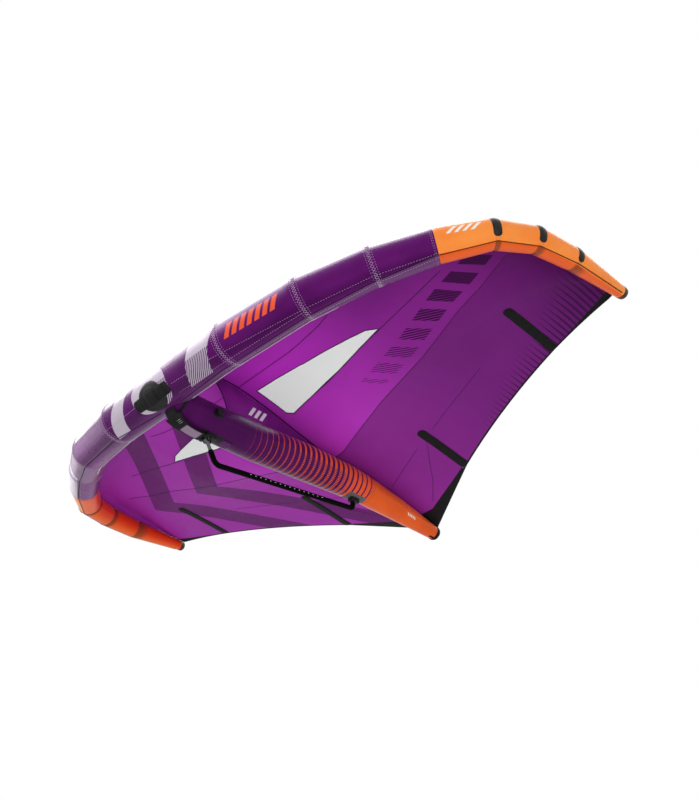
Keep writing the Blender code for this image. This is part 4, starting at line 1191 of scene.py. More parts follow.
@dataclass
class LeadingEdge(Tube):
    """The inflated tube along the front: straight lengths that mitre at seams, tapering to the tips."""

    out: Sizes = (0.374, 0.780, 1.061, 1.305, 1.490, 1.575, 1.609, 1.620)
    back: Sizes = (0.000, 0.089, 0.221, 0.360, 0.506, 0.676, 0.889, 1.224)
    up: Sizes = (0.078, 0.151, 0.229, 0.275, 0.309, 0.334, 0.342, 0.360)
    radius: Sizes = (0.103, 0.097, 0.087, 0.076, 0.065, 0.0595, 0.052, 0.030)
    middle_radius: float = 0.104
    colour_seam: int = 3
    sides: int = 96
    ring_gap: float = 0.012
    pinch: float = 0.0012
    pinch_gaps: Pair = (0.003, 0.008)
    zigzag_seams: tuple[tuple[int, float], ...] = ((0, 0.050), (1, 0.018), (2, 0.018))
    left_drift: float = 0.0001
    zigzag_reach: float = 0.0085
    zigzag_pitch: float = 0.0125
    zigzag_radius: float = 0.0011
    row_gap: float = 0.0158
    seam_stitch: Stitch = Stitch(0.0075, 0.0110, 0.0024)
    joint_stitch: Stitch = Stitch(0.0070, 0.0105, 0.0022)
    row_stitch: Stitch = Stitch(0.0088, 0.0120, 0.0026)
    arc_stitch: Stitch = Stitch(0.0060, 0.0090, 0.0016)
    tip_row_stitch: Stitch = Stitch(0.0058, 0.0090, 0.0015)
    tip_stitch: Stitch = Stitch(0.0052, 0.0080, 0.0015)
    scuffs: tuple[tuple[str, int], ...] = (("inner", 4), ("middle", 5), ("outer", 6))
    scuff_half_length: float = 0.0175
    scuff_thickness: float = 0.0014
    scuff_turns: Pair = (120.0, 230.0)
    left_seam_turns: Pairs = (
        (0.060, 279.0), (0.374, 264.0), (0.780, 260.0), (1.061, 255.0), (1.180, 252.0), (1.304, 250.0),
    )
    right_seam_turns: Pairs = (
        (0.060, 284.0), (0.374, 281.0), (0.780, 276.0), (1.061, 266.0), (1.180, 259.0), (1.304, 250.0),
    )
    tip_seam_turns: Pairs = (
        (1.306, 254.0), (1.490, 247.0), (1.575, 247.0), (1.609, 241.0), (1.6195, 236.0),
    )
    left_rows: tuple[Pairs, ...] = (
        ((0.120, 226.0), (0.374, 230.0), (0.780, 236.0), (1.061, 238.0), (1.302, 248.0)),
        ((0.374, 257.0), (0.780, 256.0), (1.061, 258.0), (1.302, 262.0)),
    )
    right_rows: tuple[Pairs, ...] = (
        ((0.120, 230.0), (0.374, 237.0), (0.780, 251.0), (1.061, 249.0), (1.302, 247.0)),
        ((0.120, 260.0), (0.374, 263.0), (0.780, 259.0)),
        ((0.374, 292.0), (0.780, 288.0), (1.061, 277.0), (1.302, 262.0)),
    )
    pale_turns: Pairs = ((0.100, 309.0), (0.374, 308.0), (0.780, 306.0), (0.900, 305.0))

    def __post_init__(self) -> None:
        """Works out the frame of every seam, from the left tip to the right."""
        right = [Vector(place) for place in zip(self.out, self.back, self.up)]
        left = [Half.LEFT.of(point) for point in reversed(right)]
        self.centres = left + [Vector((0, self.back[0], self.up[0]))] + right
        self.marks = [centre.x for centre in self.centres]
        self.radii = (*reversed(self.radius), self.middle_radius, *self.radius)
        self.spokes = mitred_spokes(self.centres, Vector((0, 0, 1)))
        self.middle = len(self.out)

    def relief(self, seam_distance: float, along: float, turn: float) -> float:
        """The sewn seam's pinch, and the wrinkles inside each bend."""
        dip = -self.pinch * math.exp(-((seam_distance / 0.007) ** 2))
        inside = max(math.cos(math.radians(turn)), 0.0)
        fade = math.exp(-seam_distance / 0.06) * smooth_step(0.004, 0.02, seam_distance)
        wrinkle = math.sin(along * 330 + 1.7 * math.sin(math.radians(3 * turn)))
        return dip + 0.0011 * inside * fade * wrinkle

    def casing(self, name: str, first: int, last: int, shorten: Pair) -> Pattern:
        """The smooth casing between two seams.

        Args:
            name: the piece's name.
            first: the seam that it starts at.
            last: the seam that it ends at.
            shorten: how far each end stands back from its seam.

        Returns:
            The pattern of the closed tube.
        """
        reaches = travelled(self.centres)
        places = []
        for seam in range(first, last):
            length = reaches[seam + 1] - reaches[seam]
            count = max(round(length / self.ring_gap), 2)
            gaps = [gap / length for gap in self.pinch_gaps] if length > 0.05 else []
            shares = {k / count for k in range(count)} | set(gaps) | {1 - gap for gap in gaps}
            places += [(seam, share, length) for share in sorted(shares)]
        places[0] = (first, shorten[0] / places[0][2], places[0][2])
        places.append((last - 1, 1 - shorten[1] / length, length))
        turns = [360 * k / self.sides for k in range(self.sides)]
        rings, outs = [], []
        for seam, share, length in places:
            apart, along = min(share, 1 - share) * length, reaches[seam] + share * length
            rings.append([self.skin(seam, share, t, self.relief(apart, along, t)) for t in turns])
            outs.append(self.marks[seam] + (self.marks[seam + 1] - self.marks[seam]) * share)
        return Pattern(name).tube(rings, lambda i, j: (outs[i], j / self.sides))

    def build(self, wardrobe: Wardrobe) -> None:
        """Makes the casings, the seams' tapes and threads, the patches and the caps."""
        first, last = self.middle - self.colour_seam - 1, self.middle + self.colour_seam + 1
        half = SEAT / 2
        centre = self.casing("leading_edge_middle", first, last, (half, half)).sew(
            wardrobe.leading_edge, 60, ("le_casing_centre", "le_bladder"), "casing_purple"
        )
        tips = (("left", (0, first), (0.0, half)), ("right", (last, len(self.centres) - 1), (half, 0.0)))
        for side, ends, shorten in tips:
            tip = self.casing("leading_edge_tip_" + side, *ends, shorten).sew(
                wardrobe.tips, 60, ("le_tip_casing_" + side,), "casing_orange"
            )
        self.build_seams(wardrobe)
        self.build_tip_seams(wardrobe)
        self.build_scuffs(wardrobe)

    def beside(self, seam: int, offset: float) -> float:
        """The distance out of a ring that lies an offset along the tube from a seam."""
        neighbour = min(max(seam + (1 if offset > 0 else -1), 0), len(self.centres) - 1)
        a, b = self.centres[seam], self.centres[neighbour]
        return a.x + (b.x - a.x) * abs(offset) / (b - a).length

    def hoop(self, seam: int, offset: float) -> Line:
        """A line round the tube beside a seam, an offset along from it."""
        return self.hoop_at(self.beside(seam, offset))

    def run(self, places: Pairs, side: int, step: float = 0.02) -> Line:
        """A line along the tube through these places, on one side."""
        return Line(self.at, [(out * side, turn) for out, turn in places], step)

    def build_seams(self, wardrobe: Wardrobe) -> None:
        """The zigzag seams between the purple lengths, and the tapes and stitches along them; the pale piping on the
        tube's lower rear is painted light.
        """
        thread = Pattern("leading_edge_thread")
        edges, pale = Pattern("leading_edge_seam_tapes"), Pattern("leading_edge_pale_piping")
        for seam_number, drift in self.zigzag_seams:
            for side in (1, -1):
                seam = self.middle + side * (seam_number + 1)
                middle = drift if side > 0 else self.left_drift
                for offset in (-self.row_gap, self.row_gap):
                    add_stitches(thread, self.hoop(seam, middle + offset), self.seam_stitch)
                for reach in (self.zigzag_reach, -self.zigzag_reach):
                    add_zigzag(thread, self.hoop(seam, middle), reach, self.zigzag_pitch, self.zigzag_radius)
        for side in (1, -1):
            seam = self.middle + side * (self.colour_seam + 1)
            for offset in (-0.008, -0.014):
                add_stitches(thread, self.hoop(seam, offset * side), self.joint_stitch)
            for places in self.right_rows if side > 0 else self.left_rows:
                add_stitches(thread, self.run(places, side, 0.03), self.row_stitch)
            seam_turns = self.right_seam_turns if side > 0 else self.left_seam_turns
            add_tape(edges, self.run(seam_turns, side), 0.0055, 0.0007, SEAT)
            # The pale piping stands for the bright line of light between the tube and the canopy: painted light.
            add_tape(pale, self.run(self.pale_turns, side), 0.0050, 0.0010, SEAT)
        angles = [math.pi * k / 16 for k in range(17)]
        arc = [(0.115 + 0.058 * math.cos(a), 166 + 26 * math.sin(a)) for a in angles]
        add_stitches(thread, self.run(arc, 1), self.arc_stitch)
        thread.sew(wardrobe.lilac, 80)
        edges.sew(wardrobe.piping)
        pale.sew(wardrobe.painted_light_piping)

    def build_tip_seams(self, wardrobe: Wardrobe) -> None:
        """The tape and the stitches of the orange tips."""
        edges, thread = Pattern("tip_seam_tapes"), Pattern("tip_thread")
        for side in (1, -1):
            add_tape(edges, self.run(self.tip_seam_turns, side), 0.005, 0.0007, SEAT)
            lower = [(out, turn + 7.0) for out, turn in self.tip_seam_turns]
            add_stitches(thread, self.run(lower, side, 0.03), self.tip_row_stitch)
            for seam_number in range(self.colour_seam + 1, len(self.out) - 1):
                for offset in (-0.006, 0.006):
                    seam = self.middle + side * (seam_number + 1)
                    add_stitches(thread, self.hoop(seam, offset), self.tip_stitch)
        edges.sew(wardrobe.tip_piping)
        thread.sew(wardrobe.tip_piping, 80)

    def build_scuffs(self, wardrobe: Wardrobe) -> None:
        """The rounded rubber patches over the seams near each tip."""
        low, high = self.scuff_turns
        steps = 44
        for half in Half:
            for name, seam_number in self.scuffs:
                seam = self.middle + half.value * (seam_number + 1)
                corner = math.degrees(self.scuff_half_length / self.radii[seam])

                def place(i: int, share: float) -> tuple[Vector, Vector]:
                    """The patch's two faces, thinner towards its edges."""
                    turn = low + (high - low) * i / steps
                    edge = min(turn - low, high - turn)
                    width = self.scuff_half_length * max(rounded(edge / corner), 0.08)
                    out = self.beside(seam, share * width)
                    fall = (1 - 0.55 * abs(share) ** 6) * (0.35 + 0.65 * smooth_step(0.0, 2.0, edge))
                    thickness = self.scuff_thickness * fall
                    return self.at(out, turn, SEAT), self.at(out, turn, SEAT + thickness)

                patch = f"scuff_patch_{name}_{half.label}"
                Pattern(patch).slab(steps, 10, place, lambda i, j: (i * 0.004, j * 0.004)).sew(
                    wardrobe.rubber, 50, ("le_" + patch,), "black_webbing"
                )


# ---------------------------------------------------------------- valve in the leading edge


@dataclass
class FillingValve:
    """The round base and the strap over the leading edge's valve."""

    out: float = -0.022
    turn: float = 230.0
    base_radius: float = 0.077
    base_thickness: float = 0.0015
    barrel_radius: float = 0.025
    strap_half_length: float = 0.118
    strap_half_width: float = 0.029
    strap_thickness: float = 0.0015
    strap_lift: float = 0.0004
    strap_ramp: float = 0.012
    strap_corner: float = 0.016
    thread_radius: float = 0.062
    stitch: Stitch = Stitch(0.0040, 0.0062, 0.0011)
    base_rings: Pairs = (
        (0.0256, 1.0), (0.031, 1.0), (0.033, 0.72), (0.035, 1.0), (0.052, 1.0), (0.054, 0.70),
        (0.056, 1.0), (0.068, 1.0), (0.072, 0.85), (0.0755, 0.55), (0.077, 0.15),
    )

    def over(self, edge: LeadingEdge, along: float, across: float, lift: float) -> Vector:
        """A point over the tube at a distance along and round from the valve."""
        turn = self.turn + math.degrees(across / edge.middle_radius)
        return edge.at(self.out + along, turn, lift)

    def build(self, edge: LeadingEdge, wardrobe: Wardrobe) -> None:
        """Makes the base and the strap."""
        self.build_base(edge, wardrobe)
        self.build_strap(edge, wardrobe)

    def build_base(self, edge: LeadingEdge, wardrobe: Wardrobe) -> None:
        """The round base sewn on to the tube, with raised rings and a hole for the barrel."""
        around = 96

        def ring(radius: float, lift: float) -> list[Vector]:
            """Points over the tube, round the valve."""
            turns = (math.tau * k / around for k in range(around))
            return [self.over(edge, radius * math.cos(a), radius * math.sin(a), lift) for a in turns]

        rings = [(ring(r, SEAT), ring(r, SEAT + self.base_thickness * s)) for r, s in self.base_rings]
        low, high = zip(*rings)
        pattern = Pattern("valve_base_patch")
        flat = lambda i, j: (self.base_rings[i][0], j * 0.003)
        under = pattern.grid(low, flat, ring=True)
        over = pattern.grid(high, flat, ring=True, turned=True)
        for end in (0, -1):
            pattern.join(under[end], over[end])
        pattern.sew(wardrobe.rubber, 35, ("le_valve_base",), "black_webbing")
        thread = Pattern("valve_base_thread")
        lifted = lambda along, across, lift: self.over(edge, along, across, SEAT + self.base_thickness + lift)
        places = [(self.thread_radius * math.cos(a), self.thread_radius * math.sin(a))
                  for a in (math.tau * k / 60 for k in range(61))]
        add_stitches(thread, Line(lifted, places, 0.02), self.stitch)
        thread.sew(wardrobe.black_thread, 80)

    def strap_height(self, along: float) -> float:
        """The strap's underside: on the tube, up over the base, and up again over the barrel."""
        low, high = SEAT, SEAT + self.base_thickness + self.strap_lift
        crown = high + self.barrel_radius**2 / (2 * 0.104)
        heights = (
            (0.0, crown), (self.barrel_radius, crown), (self.barrel_radius + self.strap_ramp, high),
            (self.base_radius, high), (self.base_radius + self.strap_ramp, low),
        )
        return interpolate(abs(along), heights)

    def build_strap(self, edge: LeadingEdge, wardrobe: Wardrobe) -> None:
        """The strap that closes over the valve, with rounded ends and a folded edge."""
        steps, across = 72, 12

        def place(i: int, share: float) -> tuple[Vector, Vector]:
            """The strap's two faces, thicker where its edge is folded."""
            along = self.strap_half_length * (2 * i / steps - 1)
            end = rounded((self.strap_half_length - abs(along)) / self.strap_corner)
            aside = share * self.strap_half_width * (0.42 + 0.58 * end)
            hem = 1.0 if 0.72 < abs(share) < 0.97 else 0.82 if abs(share) < 0.99 else 0.4
            low = self.strap_height(along)
            high = low + self.strap_thickness * hem
            return self.over(edge, along, aside, low), self.over(edge, along, aside, high)

        Pattern("valve_strap").slab(steps, across, place, lambda i, j: (i * 0.0033, j * 0.0048)).sew(
            wardrobe.black, 50, ("le_valve_flap",), "black_webbing", Body.FLAP
        )


# ---------------------------------------------------------------- strut


@dataclass
class Strut(Tube):
    """The inflated tube down the middle, from under the leading edge to the tail."""

    back: Sizes = (0.000, 0.060, 0.160, 0.268, 0.500, 0.655, 0.814, 1.086, 1.231, 1.498, 1.765)
    up: Sizes = (
        0.036, 0.018, 0.005, 0.003, 0.012, 0.0265, 0.0395, 0.0525, 0.0515, 0.030, 0.001,
    )
    radius: Sizes = (
        0.0615, 0.074, 0.082, 0.0865, 0.091, 0.0915, 0.0915, 0.0835, 0.0745, 0.0575, 0.0355,
    )
    colour_station: int = 8
    sides: int = 96
    ring_gap: float = 0.014
    front_pad: Pair = (0.196, 0.300)
    rear_pad: Pair = (1.100, 1.222)
    pad_half_width: float = 0.033
    pad_thickness: float = 0.002
    strap_out: float = 0.026
    strap_span: Pair = (0.304, 0.352)
    hoop_stitch: Stitch = Stitch(0.0052, 0.0080, 0.0015)
    long_stitch: Stitch = Stitch(0.0058, 0.0095, 0.0014)

    def __post_init__(self) -> None:
        """Works out the frame of every station."""
        self.centres = [Vector((0, back, up)) for back, up in zip(self.back, self.up)]
        self.marks, self.radii = self.back, self.radius
        self.spokes = mitred_spokes(self.centres, Vector((1, 0, 0)))

    def top(self, back: float) -> float:
        """The height of the strut's top at a true distance back."""
        line = [self.at(b, 0.0) for b in self.back]
        return interpolate(back, [(p.y, p.z) for p in line])

    def casing(self, name: str, start: float, stop: float) -> Pattern:
        """The smooth casing between two distances back."""
        count = max(round((stop - start) / self.ring_gap), 2)
        inner = {b for b in self.back if start < b < stop}
        backs = sorted({start + (stop - start) * k / count for k in range(count + 1)} | inner)
        rings = []
        for back in backs:
            pinch = 0.0009 * math.exp(-(((back - self.back[self.colour_station]) / 0.006) ** 2))
            rings.append([self.at(back, 360 * k / self.sides, -pinch) for k in range(self.sides)])
        return Pattern(name).tube(rings, lambda i, j: (backs[i], j / self.sides))

    def build(self, edge: LeadingEdge, wardrobe: Wardrobe) -> None:
        """Makes the strut's casings, threads, pads and straps."""
        joint = self.back[self.colour_station]
        front = self.casing("strut_front", 0.034, joint - SEAT / 2).sew(
            wardrobe.strut, 60, ("strut_casing_front", "strut_bladder"), "casing_purple"
        )
        tail = self.casing("strut_tail", joint + SEAT / 2, self.back[-1]).sew(
            wardrobe.tail, 60, ("strut_casing_tail",), "casing_orange"
        )
        self.build_threads(wardrobe)
        self.build_pads(wardrobe)
        cut(front, edge.core((-edge.out[0], 0.0, edge.out[0]), edge.sides))

    def build_threads(self, wardrobe: Wardrobe) -> None:
        """The seams' threads, the tail's binding and the tape at the strut's root."""
        thread, binding, tape = (Pattern("strut_" + n) for n in ("thread", "tail_binding", "root_tape"))
        joint, tail = self.back[self.colour_station], self.back[-1]
        for back in (joint - 0.007, joint + 0.007):
            add_stitches(thread, self.hoop_at(back), self.hoop_stitch)
        for turn in (214.0, 146.0):
            places = [(0.36 + 0.2 * k, turn) for k in range(5)]
            add_stitches(thread, Line(self.at, places, 0.03), self.long_stitch)
        thread.sew(wardrobe.dark_thread, 80)
        add_tape(binding, self.hoop_at(tail - 0.008, 72, 0.008), 0.014, 0.0014, 0.0010)
        places = [(tail - 0.012 - 0.004 * k, 172) for k in range(9)]
        add_tape(binding, Line(self.at, places, 0.004), 0.012, 0.0012, 0.0008)
        binding.sew(wardrobe.corner)
        places = [(0.062, 95 + 170 * k / 40) for k in range(41)]
        add_tape(tape, Line(self.at, places, 0.02), 0.016, 0.0009, SEAT)
        tape.sew(wardrobe.black)

    def patch(self, name: str, span: Pair, half_width: float, thickness: float, corner: float) -> Pattern:
        """A rounded patch under the strut.

        Args:
            name: the piece's name.
            span: from where to where back it lies.
            half_width: half its width.
            thickness: how thick it is.
            corner: how far its ends are rounded.

        Returns:
            The pattern.
        """
        steps, across = 36, 16
        start, stop = span
        middle = self.at((start + stop) / 2, 180.0)
        radius = interpolate(middle.y, list(zip(self.back, self.up))) - middle.z

        def place(i: int, share: float) -> tuple[Vector, Vector]:
            """The patch's two faces, thinner towards its edges."""
            back = start + (stop - start) * i / steps
            edge = min(back - start, stop - back)
            width = half_width - corner * (1 - rounded(edge / corner))
            turn = 180.0 - math.degrees(math.asin(share * width / radius))
            fall = (1 - 0.6 * abs(share) ** 8) * (0.4 + 0.6 * smooth_step(0.0, 0.002, edge))
            return self.at(back, turn, SEAT), self.at(back, turn, SEAT + thickness * fall)

        flat = lambda i, j: (i * (stop - start) / steps, j * half_width / 8)
        return Pattern(name).slab(steps, across, place, flat)

    def build_pads(self, wardrobe: Wardrobe) -> None:
        """The patches that carry the boom's two ends, and the straps behind the front one."""
        pads = (
            ("front_pad", self.front_pad, 0.008, wardrobe.rubber),
            ("rear_pad", self.rear_pad, 0.010, wardrobe.grey_patch),
        )
        for name, span, corner, finish in pads:
            self.patch(name, span, self.pad_half_width, self.pad_thickness, corner).sew(
                finish, 45, ("boom_" + name,), "black_webbing"
            )
        self.patch("front_reinforcement", self.strap_span, self.strap_out, 0.0012, 0.002).sew(
            wardrobe.strap, 45
        )
        borders = Pattern("front_reinforcement_edges")
        start, stop = self.strap_span
        for side in (1, -1):
            turn = 180 - side * math.degrees(math.asin(self.strap_out / 0.088))
            places = [(start + (stop - start) * k / 8, turn) for k in range(9)]
            add_tape(borders, Line(self.at, places, 0.01), 0.006, 0.0012, 0.0004)
        borders.sew(wardrobe.black)


# ---------------------------------------------------------------- canopy


@dataclass
class Canopy:
    """The cloth between the leading edge and the trailing edge, one continuous sheet each side."""

    cloth: float = 0.001
    attach_turn: float = 60.0
    web_rise: float = 0.178
    web_full_back: float = 0.260
    web_tail_back: float = 1.080
    web_head_back: float = 0.225
    web_foot_back: float = 0.335
    web_thickness: float = 0.0015
    web_edge_hollow: float = 0.018
    camber_shares: Sizes = (1.0, 0.85, 0.62, 0.50, 0.38, 0.33, 0.27, 0.20, 0.0)
    columns: tuple[int, ...] = (16, 14, 10, 10, 8, 6, 5, 6)
    rows: int = 84
    trailing_out: Sizes = (0.000, 0.431, 1.211, 1.573)
    trailing_back: Sizes = (1.787, 1.547, 1.283, 1.2295)
    trailing_up: Sizes = (0.0374, 0.1447, 0.3041, 0.3652)
    trailing_hollow: Sizes = (0.000, 0.0195, 0.005)
    trailing_arch: Sizes = (0.001, 0.006, 0.002)
    trailing_reach: Sizes = (0.0, 0.274, 0.509, 0.655, 0.770, 0.849, 0.909, 0.960, 1.0)
    window: Pairs = (
        (0.060, 0.452), (0.200, 0.455), (0.350, 0.465), (0.500, 0.488), (0.630, 0.515), (0.715, 0.536),
        (0.768, 0.572), (0.630, 0.590), (0.400, 0.620), (0.200, 0.647), (0.092, 0.664), (0.062, 0.640),
    )
    tail_corner: Pairs = (
        (0.402, 1.539), (0.092, 1.653), (0.000, 1.640), (0.000, 1.900), (0.500, 1.900),
    )
    tip_corner: Pairs = (
        (1.290, 1.258), (1.556, 1.196), (1.700, 1.190), (1.700, 1.400), (1.290, 1.400),
    )
    seams: tuple[Pairs, ...] = (
        ((0.010, 0.379), (0.300, 0.375), (0.460, 0.373), (0.590, 0.365), (0.665, 0.349)),
        (
            (0.084, 0.665), (0.231, 0.643), (0.377, 0.618), (0.510, 0.608), (0.630, 0.588), (0.770, 0.577),
            (0.900, 0.573), (1.026, 0.569), (1.156, 0.556),
        ),
        ((0.010, 1.009), *REAR_SEAM, (1.407, 0.706)),
    )
    faint_seams: tuple[Pairs, ...] = (
        ((0.053, 1.386), (0.338, 1.275)),
        ((0.410, 1.270), (0.320, 1.387), (0.235, 1.504), (0.133, 1.613)),
        ((0.484, 1.230), (0.650, 1.180), (0.905, 1.108)),
    )
    batten_heads: tuple[tuple[str, float], ...] = (("inner", 0.431), ("outer", 1.211))
    batten_length: float = 0.340
    batten_width: float = 0.048
    batten_hold: float = 0.009
    binding_width: float = 0.014
    batten_thread_out: float = 0.0205
    batten_stitch: Stitch = Stitch(0.0040, 0.0068, 0.0009)
    keel_tape: Sizes = (0.235, 0.30, 0.40, 0.55, 0.70, 0.85, 1.00, 1.05)
    foot_tape: Sizes = (0.345, 0.50, 0.655, 0.814, 1.00, 1.05)
    tip_out: float = 1.573

    def trailing(self, out: float) -> Vector:
        """The trailing edge's point at a distance out."""
        k, share = locate(out, self.trailing_out)
        bow = 4 * share * (1 - share)
        lines = (self.trailing_back, self.trailing_up)
        back, up = (line[k] + (line[k + 1] - line[k]) * share for line in lines)
        return Vector((out, back - self.trailing_hollow[k] * bow, up + self.trailing_arch[k] * bow))

    def keel(self, strut: Strut, front: Vector, back: float) -> float:
        """The height of the cloth's underside over the strut."""
        if back < self.web_full_back:
            share = (back - front.y) / (self.web_full_back - front.y)
            crest = self.keel(strut, front, self.web_full_back)
            return front.z + (crest - front.z) * math.sin(share * math.pi / 2)
        share = min((back - self.web_full_back) / (self.web_tail_back - self.web_full_back), 1.0)
        return strut.top(back) + SEAT + self.web_rise * (1 + math.cos(math.pi * share)) / 2

    def chords(self, edge: LeadingEdge, strut: Strut) -> list[list[Vector]]:
        """Points of the right half's underside, one row for each chord from the keel out."""
        fronts = []
        for seam in range(edge.middle, len(edge.centres)):
            spoke = edge.spoke(seam, self.attach_turn)
            fronts.append(edge.centres[seam] + spoke * edge.radii[seam] + spoke.normalized() * SEAT)
        front, tail, heel = fronts[0], self.trailing_back[0], self.trailing(0.0).z
        shares = [(k / self.rows) ** 1.25 for k in range(self.rows + 1)]
        cambers = []
        for share in shares:
            keel = self.keel(strut, front, front.y + (tail - front.y) * share)
            level = front.z + (heel - front.z) * share
            cambers.append((keel - level) * (1 - smooth_step(0.965, 1.0, share)))
        made = []
        for k, cuts in enumerate(self.columns):
            for step in range(cuts + (k == len(self.columns) - 1)):
                part = step / cuts
                start = fronts[k].lerp(fronts[k + 1], part)
                reach, camber = (
                    values[k] * (1 - part) + values[k + 1] * part
                    for values in (self.trailing_reach, self.camber_shares)
                )
                end = self.trailing(self.tip_out * reach)
                row = [
                    start.lerp(end, share) + Vector((0, 0, height * camber))
                    for share, height in zip(shares, cambers)
                ]
                made.append(row)
        for point in made[0]:
            point.x = SEAT / 2
        return made

    def normals(self) -> list[list[Vector]]:
        """Upward normals of the grid."""
        found = []
        for i, row in enumerate(self.grids):
            before, after = self.grids[max(i - 1, 0)], self.grids[min(i + 1, len(self.grids) - 1)]
            line = []
            for j in range(len(row)):
                normal = (after[j] - before[j]).cross(row[min(j + 1, len(row) - 1)] - row[max(j - 1, 0)])
                if i == 0:
                    normal.x = 0
                line.append(normal.normalized())
            found.append(line)
        mean = sum(found[-3], Vector()).normalized()
        found[-2:] = [[mean] * len(found[0])] * 2
        return found

    def prepare(self, edge: LeadingEdge, strut: Strut) -> None:
        """Works out the surface that trims and seams are laid on."""
        self.grids = self.chords(edge, strut)
        self.tilts = self.normals()
        across = len(self.grids[0])
        faces = []
        for i in range(len(self.grids) - 1):
            for a in range(i * across, (i + 1) * across - 1):
                faces += [(a, a + 1, a + across + 1), (a, a + across + 1, a + across)]
        self.tree = BVHTree.FromPolygons([point for row in self.grids for point in row], faces)

    def over(self, half: Half) -> SurfaceMap:
        """The map from a place in plan to a point over or under the cloth on one half."""

        def at(out: float, back: float, lift: float) -> Vector:
            """The point at a lift over the cloth's underside."""
            hit, normal, _, _ = self.tree.ray_cast(Vector((out, back, 3)), Vector((0, 0, -1)))
            if hit is None:
                height = self.trailing(min(out, self.tip_out - 0.003)).z
                hit, normal, _, _ = self.tree.find_nearest(Vector((out, back, height)))
            return half.of(hit + (normal if normal.z >= 0 else -normal) * lift)

        return at

    def under(self, half: Half) -> SurfaceMap:
        """The map from a place in plan to a point under the cloth; lifts run down."""
        top = self.over(half)
        return lambda out, back, lift: top(out, back, -lift)

    def sheet(self, name: str, half: Half) -> Pattern:
        """A closed sheet as thick as the cloth, over the whole half."""
        layers = []
        for offset in (0.0, self.cloth):
            rows = zip(self.grids, self.tilts)
            layers.append([[half.of(p + normal * offset) for p, normal in zip(*row)] for row in rows])
        return Pattern(name).sheet(*layers, lambda i, j: (abs(self.grids[i][j].x), self.grids[i][j].y))

    def build(self, edge: LeadingEdge, strut: Strut, wardrobe: Wardrobe) -> None:
        """Makes both halves with their windows, corners, seams, battens and binding, and the web."""
        self.prepare(edge, strut)
        for half in Half:
            self.build_cloth(half, wardrobe)
            self.build_seams(half, wardrobe)
            self.build_pockets(half, wardrobe)
            self.build_binding(half, wardrobe)
        self.build_web(strut, wardrobe)

    def build_cloth(self, half: Half, wardrobe: Wardrobe) -> None:
        """The half's sheet, with its window and its two corner panels let in."""
        main = self.sheet("canopy_sheet_" + half.label, half).sew(wardrobe.canopy[half], 60)
        whole = grid_area(self.grids)
        panels = (
            ("window", self.window, wardrobe.film, "window_film", (0.72, 0.22)),
            ("tail_corner", self.tail_corner, wardrobe.corner, "black_webbing", (0.48, 0.12)),
            ("tip_corner", self.tip_corner, wardrobe.corner, "black_webbing", (0.30, 0.07)),
        )
        for name, outline, finish, slot, size in panels:
            cut(main, upright_cutter(outline, half))
            panel = self.sheet(f"{name}_panel_{half.label}", half).sew(
                finish, 60, (f"{name}_{half.label}",), slot
            )
            cut(panel, upright_cutter(inset(outline, SEAT), half), "INTERSECT")
            area = grid_area(self.grids, outline)
            whole -= area
            log.info("%s: %.4f square metres", panel.name, area)
        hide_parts("canopy_" + half.label)

    def build_seams(self, half: Half, wardrobe: Wardrobe) -> None:
        """The raised seam tapes under and over the cloth, and the window's border."""
        tapes = Pattern("canopy_seams_" + half.label)
        for surface, lift in ((self.under(half), SEAT), (self.over(half), self.cloth + SEAT)):
            for places in self.seams:
                add_tape(tapes, Line(surface, places, 0.02), 0.0045, 0.0005, lift)
            for places in self.faint_seams:
                add_tape(tapes, Line(surface, places, 0.02), 0.0030, 0.0003, lift)
            border = (*self.window, self.window[0])
            add_tape(tapes, Line(surface, border, 0.01), 0.0055, 0.0005, lift)
        tapes.sew(wardrobe.seam_tape)

    def build_pockets(self, half: Half, wardrobe: Wardrobe) -> None:
        """The padded pocket under the cloth over each batten, with a round head and stitched borders."""
        surface = self.under(half)
        lifted = lambda out, back, lift: surface(out, back, lift + 0.0012)
        steps, width = 64, self.batten_width / 2
        for name, out in self.batten_heads:
            foot = self.trailing(out).y - self.batten_hold
            head = foot - self.batten_length - 0.009

            def place(i: int, share: float) -> tuple[Vector, ...]:
                """The pocket's two faces, raised over the batten."""
                back = head + (foot - head) * (i / steps) ** 1.6
                aside = share * width * max(rounded((back - head) / width), 0.02)
                raised = (1 - smooth_step(0.62, 0.80, abs(share))) * smooth_step(0.0, 0.02, back - head)
                lifts = (SEAT, SEAT + 0.0010 + 0.0030 * raised)
                return tuple(surface(out + aside, back, lift) for lift in lifts)

            cover = Pattern(f"batten_pocket_cover_{name}_{half.label}")
            cover.slab(steps, 14, place, lambda i, j: (i * 0.005, j * 0.0034)).sew(
                wardrobe.corner, 50, (f"batten_pocket_{name}_{half.label}",), "black_webbing"
            )
            thread = Pattern(f"batten_thread_{name}_{half.label}")
            for aside in (-self.batten_thread_out, self.batten_thread_out):
                places = [(out + aside, head + 0.028), (out + aside, foot)]
                add_stitches(thread, Line(lifted, places, 0.02), self.batten_stitch)
            thread.sew(wardrobe.black_thread, 80)

    def build_binding(self, half: Half, wardrobe: Wardrobe) -> None:
        """The black binding folded round the trailing edge."""
        top, inner = self.cloth, self.binding_width
        section = (
            (inner, top + 0.0009), (0.004, top + 0.0010), (-0.0010, top + 0.0006), (-0.0016, 0.0003),
            (-0.0010, -0.0006), (0.004, -0.0010), (0.010, -0.0009), (0.010, -0.0002),
            (0.002, -0.0002), (-0.0004, 0.0003), (0.002, top + 0.0002), (inner, top + 0.0002),
        )
        rings = []
        for row, line in zip(self.grids[:-1], self.tilts[:-1]):
            way = (row[-3] - row[-1]).normalized()
            rings.append([half.of(row[-1] + way * inward + line[-3] * lift) for inward, lift in section])
        binding = Pattern("trailing_binding_" + half.label).tube(rings, lambda i, j: (i * 0.02, j * 0.003))
        binding.sew(wardrobe.black, 50, ("trailing_tape_" + half.label,), "black_webbing")

